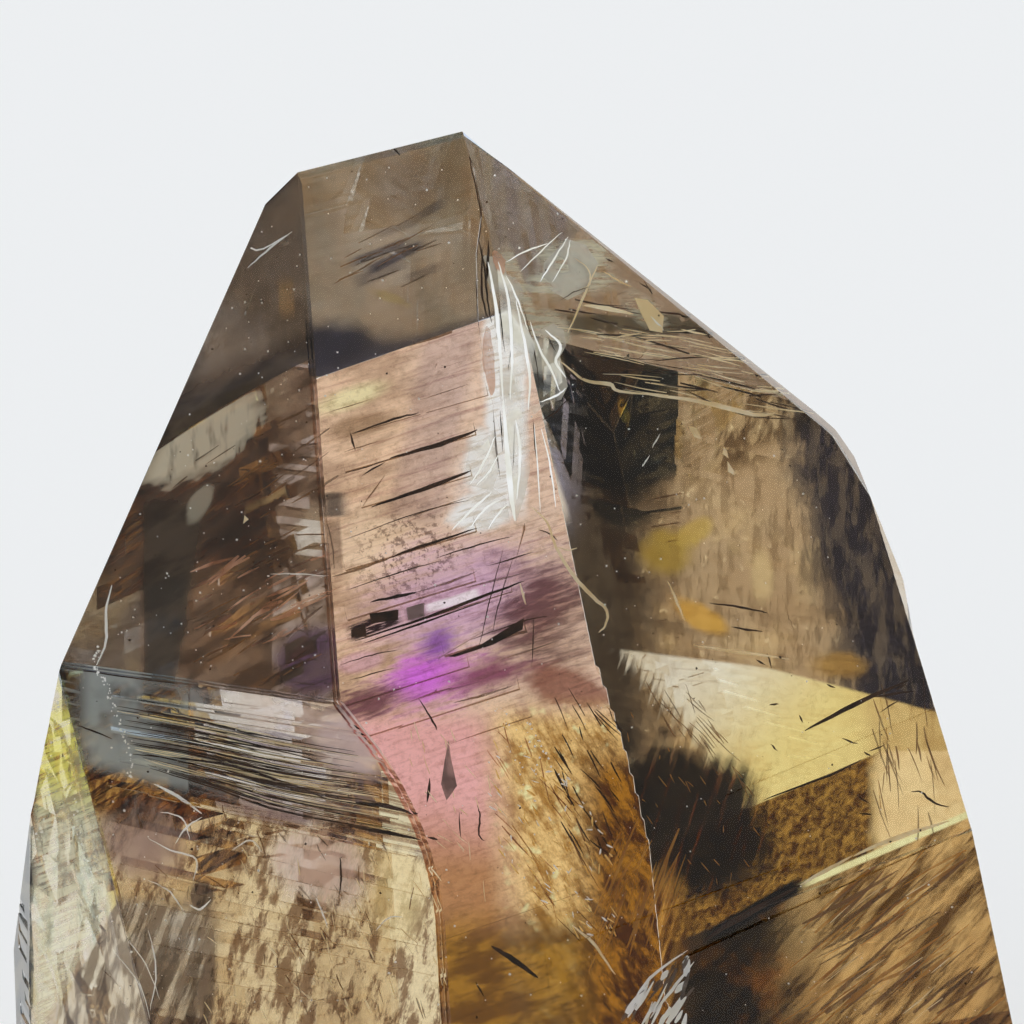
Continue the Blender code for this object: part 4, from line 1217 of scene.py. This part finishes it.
# the white fracture that stands behind the tip's growth step, its flames and its branches
fracture = (
    (484, 254), (490, 291), (494, 318), (499, 347), (500, 400), (505, 470), (510, 507), (516, 523),
    (523, 496), (529, 470), (531, 443), (526, 413), (536, 415), (545, 404), (560, 398), (568, 385),
    (566, 372), (560, 358), (566, 345), (563, 330), (555, 323), (540, 330), (535, 318), (525, 298),
    (517, 277), (506, 273), (500, 256),
)
patches("fracture_veil", FROST, under(0.34), (
    fracture,
    ((470, 449), (493, 432), (499, 470), (492, 490), (464, 485)),
    ((449, 532), (477, 498), (492, 487), (505, 498), (511, 526), (505, 532), (477, 528)),
    ((545, 262), (568, 238), (586, 246), (600, 262), (590, 290), (566, 300), (540, 284)),
), 6.0, 1.6)
patches("fracture_core", FROST, under(-0.01), (
    ((496, 268), (510, 282), (520, 312), (534, 346), (531, 374), (514, 384), (506, 352), (500, 310)),
    ((504, 400), (514, 392), (524, 420), (520, 462), (516, 512), (510, 480)),
    ((474, 452), (490, 440), (495, 468), (484, 482)), ((545, 366), (560, 360), (562, 384), (545, 396)),
), 5.0, 1.8)
# the white ribs are partly painted highlights: the lit ridges of the crumpled fracture, brighter than its
# frosted white
lines("fracture_ribs", WHITE, under(-0.015), (
    (4.0, (488, 262), (495, 300), (500, 350), (503, 400)),
    (3.4, (498, 262), (508, 300), (512, 350), (510, 400)),
    (6.0, (503, 400), (507, 450), (511, 495), (515, 521)), (3.0, (516, 420), (520, 455), (517, 500)),
    (3.2, (516, 300), (524, 340), (530, 380), (528, 410)),
    (2.6, (530, 322), (540, 350), (552, 372), (560, 392)),
    (3.4, (545, 330), (560, 345), (556, 362), (566, 378)), (2.2, (540, 402), (556, 396), (566, 388)),
    (2.0, (506, 275), (516, 296), (528, 330)), (2.4, (470, 484), (484, 462), (495, 436)),
    (2.0, (476, 486), (490, 470), (498, 455)), (2.6, (452, 530), (474, 508), (492, 492)),
    (2.2, (470, 528), (486, 508), (500, 500)), (2.0, (488, 529), (500, 512), (508, 504)),
    (1.8, (506, 262), (528, 250), (548, 244)), (1.4, (520, 272), (540, 252), (562, 232)),
    (1.6, (552, 282), (566, 258), (570, 240)), (2.0, (568, 237), (552, 262), (540, 282)),
    (1.8, (541, 428), (551, 470), (556, 507)), (1.4, (534, 424), (538, 470), (540, 512)),
))
lines("fracture_shadows", BLACK, under(0.18), (
    (2.2, (478, 236), (484, 262), (488, 300), (492, 322)), (1.4, (508, 285), (513, 330), (508, 372)),
    (1.2, (522, 300), (534, 350), (540, 388)), (1.2, (499, 300), (505, 352)), (1.4, (533, 420), (536, 458)),
    (1.6, (570, 396), (556, 412), (542, 420)), (1.2, (515, 424), (513, 470)), (1.2, (548, 336), (556, 352)),
    (1.4, (500, 410), (503, 452)), (1.2, (560, 300), (574, 292), (590, 286)),
))
lines("growth_step", BLACK, skin, (
    (1.6, (465, 137), (472, 170), (481, 217), (478, 245), (477, 262)),
    (1.3, (477, 262), (477, 300), (480, 335)), (3.0, (489, 240), (488, 262), (486, 290)),
    (2.4, (483, 246), (482, 290), (488, 318)),
))
lines("orange_strip", ORANGE, shallow, (
    (13.0, (487, 326), (489, 360), (492, 396)), (12.0, (494, 250), (500, 262), (503, 275)),
), 0.8)
lines("branch", CREAM, under(0.2), (
    (4.0, (532, 507), (547, 522), (556, 547), (575, 577), (594, 598), (607, 611), (605, 626), (599, 632)),
    (2.4, (520, 583), (523, 594), (526, 605)), (1.4, (556, 547), (568, 550), (577, 548)),
    (2.6, (668, 581), (676, 600), (685, 621)), (2.6, (598, 265), (583, 298), (568, 333)),
    (4.2, (561, 361), (585, 380), (610, 384), (619, 391), (659, 395)),
    (5.0, (640, 393), (698, 401), (753, 414), (775, 414)), (2.0, (604, 271), (618, 280), (632, 286)),
    (2.0, (615, 337), (642, 333)), (2.0, (681, 329), (708, 335)), (5.0, (583, 305), (608, 308), (634, 314)),
    (1.6, (575, 258), (588, 268), (590, 284), (578, 290)), (1.4, (690, 352), (720, 360), (742, 366)),
    (5.0, (853, 856), (899, 837), (949, 821)), (4.0, (800, 885), (826, 870), (853, 856)),
    (2.4, (693, 645), (740, 652), (789, 659)), (3.2, (572, 925), (592, 942), (615, 974)),
))
lines("thin_hairs", BLACK, shallow, (
    (1.2, (503, 549), (490, 600), (478, 650)), (1.2, (513, 558), (500, 600), (492, 635)),
    (1.2, (534, 616), (532, 667)), (1.6, (539, 530), (550, 534), (558, 541)), (2.2, (756, 660), (765, 665)),
    (2.0, (827, 684), (835, 688)), (2.0, (769, 705), (779, 704)), (2.0, (771, 744), (777, 751)),
    (2.0, (799, 715), (803, 723)), (2.0, (864, 752), (871, 756)), (1.8, (856, 795), (869, 803)),
    (1.8, (859, 813), (872, 815)),
    (2.6, (911, 792), (921, 792), (929, 799), (939, 805), (949, 807)), (1.6, (767, 653), (772, 669)),
    (5.0, (909, 680), (853, 705), (805, 731)), (2.6, (861, 760), (827, 776), (763, 800)),
    (7.0, (800, 885), (741, 917), (704, 940)), (2.4, (709, 603), (740, 607), (768, 613)),
    (2.4, (731, 627), (763, 632)), (6.0, (491, 946), (514, 960), (538, 978)), (1.8, (606, 258), (614, 262)),
    (2.4, (380, 152), (398, 150), (408, 152)), (2.0, (392, 146), (400, 156)), (1.5, (900, 700), (880, 712)),
    (2.0, (896, 690), (906, 684)), (1.5, (885, 745), (868, 752)), (1.6, (640, 283), (652, 290)),
    (2.6, (872, 697), (915, 691)), (2.0, (842, 738), (858, 744)),
))
patches("pale_flakes", CREAM, under(0.2), (
    ((634, 297), (648, 300), (664, 316), (662, 333), (650, 330), (640, 312)),
    ((689, 425), (696, 428), (702, 440), (694, 436)), ((723, 446), (728, 452), (728, 458), (722, 454)),
    ((728, 461), (734, 470), (734, 476), (729, 471)), ((245, 516), (249, 520), (244, 524)),
), 5.0, 1.0)
lines("needles_left", WHITE, under(0.2), (
    (3.0, (112, 585), (106, 612), (106, 642), (97, 664)), (1.4, (270, 574), (298, 574), (328, 576)),
    (1.8, (236, 228), (256, 250), (292, 232)), (2.0, (248, 268), (270, 248), (292, 232)),
    (1.6, (660, 434), (652, 448)), (1.6, (650, 455), (642, 467)), (2.0, (651, 316), (664, 330)),
))


def glints(name, material, poly, count, angle, spread, length, width, depth, seed):
    """One piece of scattered short strokes. `angle` 0 is right, 90 is up, and `spread` is its scatter."""
    strokes = Strokes()
    random = Random(seed)
    for x, y in scatter(poly, count, random):
        a = radians(angle + random.gauss(0, spread))
        reach = random.uniform(*length) / 2
        dx, dy = cos(a) * reach, -sin(a) * reach
        bow = random.uniform(-0.05, 0.05)
        strokes.ribbon(under(random.uniform(*depth)),
                       [(x - dx, y - dy), (x - dy * bow, y + dx * bow), (x + dx, y + dy)],
                       random.uniform(*width), thick_at=random.uniform(0.3, 0.7))
    strokes.finish(name, material)


# golden glints and fibres, streaks and hairs
GOLDEN = ((500, 712), (560, 760), (612, 850), (616, 940), (560, 930), (500, 860), (486, 780))
PINK = ((400, 730), (480, 720), (500, 800), (520, 880), (460, 900), (430, 820))
WEDGE = ((612, 690), (660, 740), (740, 800), (780, 850), (700, 900), (640, 860), (600, 760))
RIBS = ((612, 850), (680, 860), (664, 950), (600, 950))
LOW_RIGHT = ((830, 900), (945, 860), (978, 960), (984, 1020), (820, 1020))
SPARKLE = ((626, 1008), (650, 976), (690, 948), (697, 975), (688, 1022), (650, 1022))
for seed, row in enumerate((
    ("gold_glints", GOLD, GOLDEN, 90, -56, 14, (4, 14), (1.0, 2.6), (0.15, 0.36)),
    ("white_glints", WHITE, GOLDEN, 46, -50, 30, (3, 9), (0.9, 2.2), (0.15, 0.3)),
    ("amber_fibres", AMBER, GOLDEN, 26, -56, 8, (18, 52), (1.0, 2.0), (0.3, 0.9)),
    ("pink_fibres", CREAM, PINK, 26, -60, 14, (6, 22), (0.7, 1.3), (0.2, 0.36)),
    ("dark_fibres", BLACK, ((560, 700), (620, 700), (640, 860), (560, 840)), 34, -56, 8, (14, 40),
     (1.0, 2.2), (0.3, 0.8)),
    ("wedge_fibres", AMBER, WEDGE, 26, -62, 14, (4, 14), (0.6, 1.2), (0.25, 0.38)),
    ("rib_fibres", AMBER, RIBS, 26, -112, 4, (30, 90), (1.4, 3.6), (0.2, 0.38)),
    ("low_streaks", AMBER, LOW_RIGHT, 24, 38, 5, (40, 130), (1.4, 4.4), (0.2, 0.4)),
    ("low_streaks_dark", BROWN, LOW_RIGHT, 26, 38, 5, (40, 120), (1.4, 5.0), (0.2, 0.4)),
    ("low_hairs", CREAM, LOW_RIGHT, 12, 40, 5, (20, 60), (0.8, 1.4), (0.15, 0.3)),
    ("window_hairs", BROWN, ((640, 690), (700, 700), (760, 800), (700, 770)), 34, -50, 8, (12, 36),
     (0.8, 1.6), (0.2, 0.4)),
    ("window_streaks", BROWN, ((860, 700), (930, 700), (950, 830), (880, 830)), 26, -78, 8, (20, 60),
     (1.0, 2.2), (0.2, 0.4)),
    ("left_streaks", BROWN, ((150, 470), (310, 400), (330, 680), (180, 660)), 44, 30, 6, (16, 56),
     (1.0, 3.0), (0.2, 0.5)),
    ("left_streaks_pale", ORANGE, ((190, 560), (320, 540), (330, 640), (200, 660)), 40, 28, 9, (14, 50),
     (1.4, 4.0), (0.2, 0.5)),
    ("tip_streaks", BROWN, ((340, 250), (430, 210), (450, 270), (350, 300)), 16, 26, 4, (18, 60), (0.8, 2.0),
     (0.2, 0.5)),
    ("plate_lines", CREAM, ((585, 330), (690, 330), (800, 400), (780, 420), (640, 396)), 46, -10, 5,
     (20, 70), (0.8, 1.8), (0.2, 0.38)),
    ("plate_shades", BLACK, ((560, 300), (690, 300), (800, 400), (780, 420), (600, 390)), 40, -9, 7,
     (20, 70), (0.8, 2.2), (0.2, 0.38)),
    ("side_fibres", CREAM, ((200, 850), (440, 850), (446, 1020), (200, 1020)), 50, -70, 16, (6, 26),
     (0.8, 1.8), (0.2, 0.38)),
    ("side_fibres_dark", BROWN, ((120, 800), (440, 830), (446, 1020), (100, 1020)), 50, -66, 18, (6, 28),
     (0.8, 2.0), (0.2, 0.4)),
    ("sparkle", WHITE, SPARKLE, 22, 60, 9, (8, 40), (2.0, 7.0), (0.12, 0.3)),
    ("sparkle_shades", GREY, SPARKLE, 20, 62, 12, (8, 34), (1.4, 5.0), (0.12, 0.3)),
), 5):
    glints(*row, seed)

# striae that fan across the left side, over the healed cracks
HIGH = [(115, 706), (190, 719), (265, 736), (355, 751)]
MIDDLE = [(130, 742), (202, 754), (280, 772), (375, 786)]
LOW = [(150, 768), (220, 790), (285, 812), (395, 832)]


def stria(share, random, spread):
    """A line that fans across the left side, `share` of the way down it, cut short at random."""
    first, last, share = (HIGH, MIDDLE, share * 2) if share < 0.5 else (MIDDLE, LOW, share * 2 - 1)
    start, stop = random.uniform(0, 0.45), random.uniform(0.55, 1.0)
    if random.random() < 0.3:
        start, stop = 0.0, 1.0
    steps = [start + (stop - start) * i / 4 for i in range(5)]

    def at(line, t):
        t *= len(line) - 1
        i = min(int(t), len(line) - 2)
        (x0, y0), (x1, y1) = line[i], line[i + 1]
        return x0 + (x1 - x0) * (t - i), y0 + (y1 - y0) * (t - i)
    shift = random.uniform(-spread, spread)
    return [
        tuple(a + (b - a) * share + (shift if k else 0) for k,
              (a, b) in enumerate(zip(at(first, t), at(last, t))))
        for t in steps
    ]


random = Random(77)
strokes = Strokes()
for number in range(46):
    share = (number + random.uniform(-0.3, 0.3)) / 45
    path = stria(share, random, 1.5)
    strokes.ribbon(under(random.uniform(0.14, 0.3)), path, random.choice((0.7, 0.8, 1.0, 1.2, 2.0)),
                   wobble=0.2, seed=number)
for points, width in (
    (HIGH, 1.8), ([(121, 725), (190, 736), (265, 748), (340, 766)], 1.8), (MIDDLE, 2.2),
    ([(133, 754), (220, 763), (280, 781), (328, 799)], 3.4), (LOW, 2.0),
    ([(355, 802), (386, 806), (418, 814)], 4.5), ([(349, 826), (388, 833), (427, 841)], 4.0),
    ([(76, 725), (94, 731), (112, 739)], 2.0), ([(64, 668), (120, 676), (178, 684)], 1.4),
    ([(340, 856), (341, 875), (339, 895)], 2.4),
):
    strokes.ribbon(under(0.16), points, width, wobble=0.4, seed=int(width * 10))
strokes.finish("side_striae", BLACK)
random = Random(78)
strokes = Strokes()
for number in range(34):
    share = random.random()
    strokes.ribbon(under(0.2), stria(share, random, 2.0), random.choice((0.8, 1.2, 1.8)), wobble=0.3,
                   seed=number)
strokes.finish("side_striae_pale", CREAM)

# healed and curved cracks, sparkle and dust
random = Random(79)
strokes = Strokes()
for path in (
    [(100, 646), (95, 667), (106, 685), (116, 715), (128, 745), (130, 778)],
    [(57, 700), (52, 740), (46, 790), (38, 840)], [(74, 790), (80, 840), (92, 890), (100, 920)],
):
    for x, y in smooth_path(path, 14):
        strokes.speck(skin, x + random.uniform(-3, 3), y + random.uniform(-2, 2), random.uniform(0.8, 2.2),
                      random)
for x, y in scatter(((486, 700), (530, 720), (560, 770), (520, 780)), 40, random):
    strokes.speck(under(0.2), x, y, random.uniform(0.8, 2.0), random)
strokes.finish("bead_cracks", WHITE)
lines("shell_cracks", WHITE, under(0.2), (
    (3.4, (154, 784), (178, 796), (202, 814)), (2.0, (202, 817), (186, 828), (175, 844)),
    (2.0, (148, 838), (170, 850), (196, 859), (193, 880)), (2.4, (190, 905), (200, 909), (211, 900)),
    (1.8, (316, 898), (322, 912), (328, 928)), (1.6, (376, 930), (388, 918), (403, 917)),
    (1.6, (160, 812), (182, 818), (190, 840)), (1.4, (148, 880), (170, 892), (186, 915)),
    (1.4, (232, 850), (250, 840), (262, 852)), (1.6, (148, 930), (156, 970), (150, 1010)),
    (1.2, (112, 950), (140, 985), (150, 1020)), (1.2, (128, 940), (146, 965), (160, 1000)),
    (3.0, (630, 1010), (650, 978), (688, 950)), (3.4, (650, 1018), (672, 990), (694, 962)),
))
FACES_SEEN = (  # each with its count of specks
    (((300, 180), (450, 140), (600, 240), (840, 450), (900, 700), (960, 900), (990, 1020), (450, 1020),
      (340, 690)), 330),
    (((300, 190), (330, 690), (80, 650), (180, 420), (260, 230)), 120),
    (((80, 680), (330, 715), (440, 900), (445, 1020), (110, 1020)), 110),
)


def dust(name, material, thinned, sizes, random):
    """One piece of specks just under the surface, with one in `thinned` of the full count."""
    strokes = Strokes()
    for poly, count in FACES_SEEN:
        for x, y in scatter(poly, count // thinned, random):
            strokes.speck(under(random.uniform(0.04, 0.12)), x, y, random.choice(sizes), random)
    strokes.finish(name, material)


random = Random(80)
dust("pale_dust", WHITE, 1, (0.7, 0.8, 1.0, 1.2, 1.7), random)
dust("dark_dust", BLACK, 3, (0.7, 0.9, 1.2, 1.8), random)
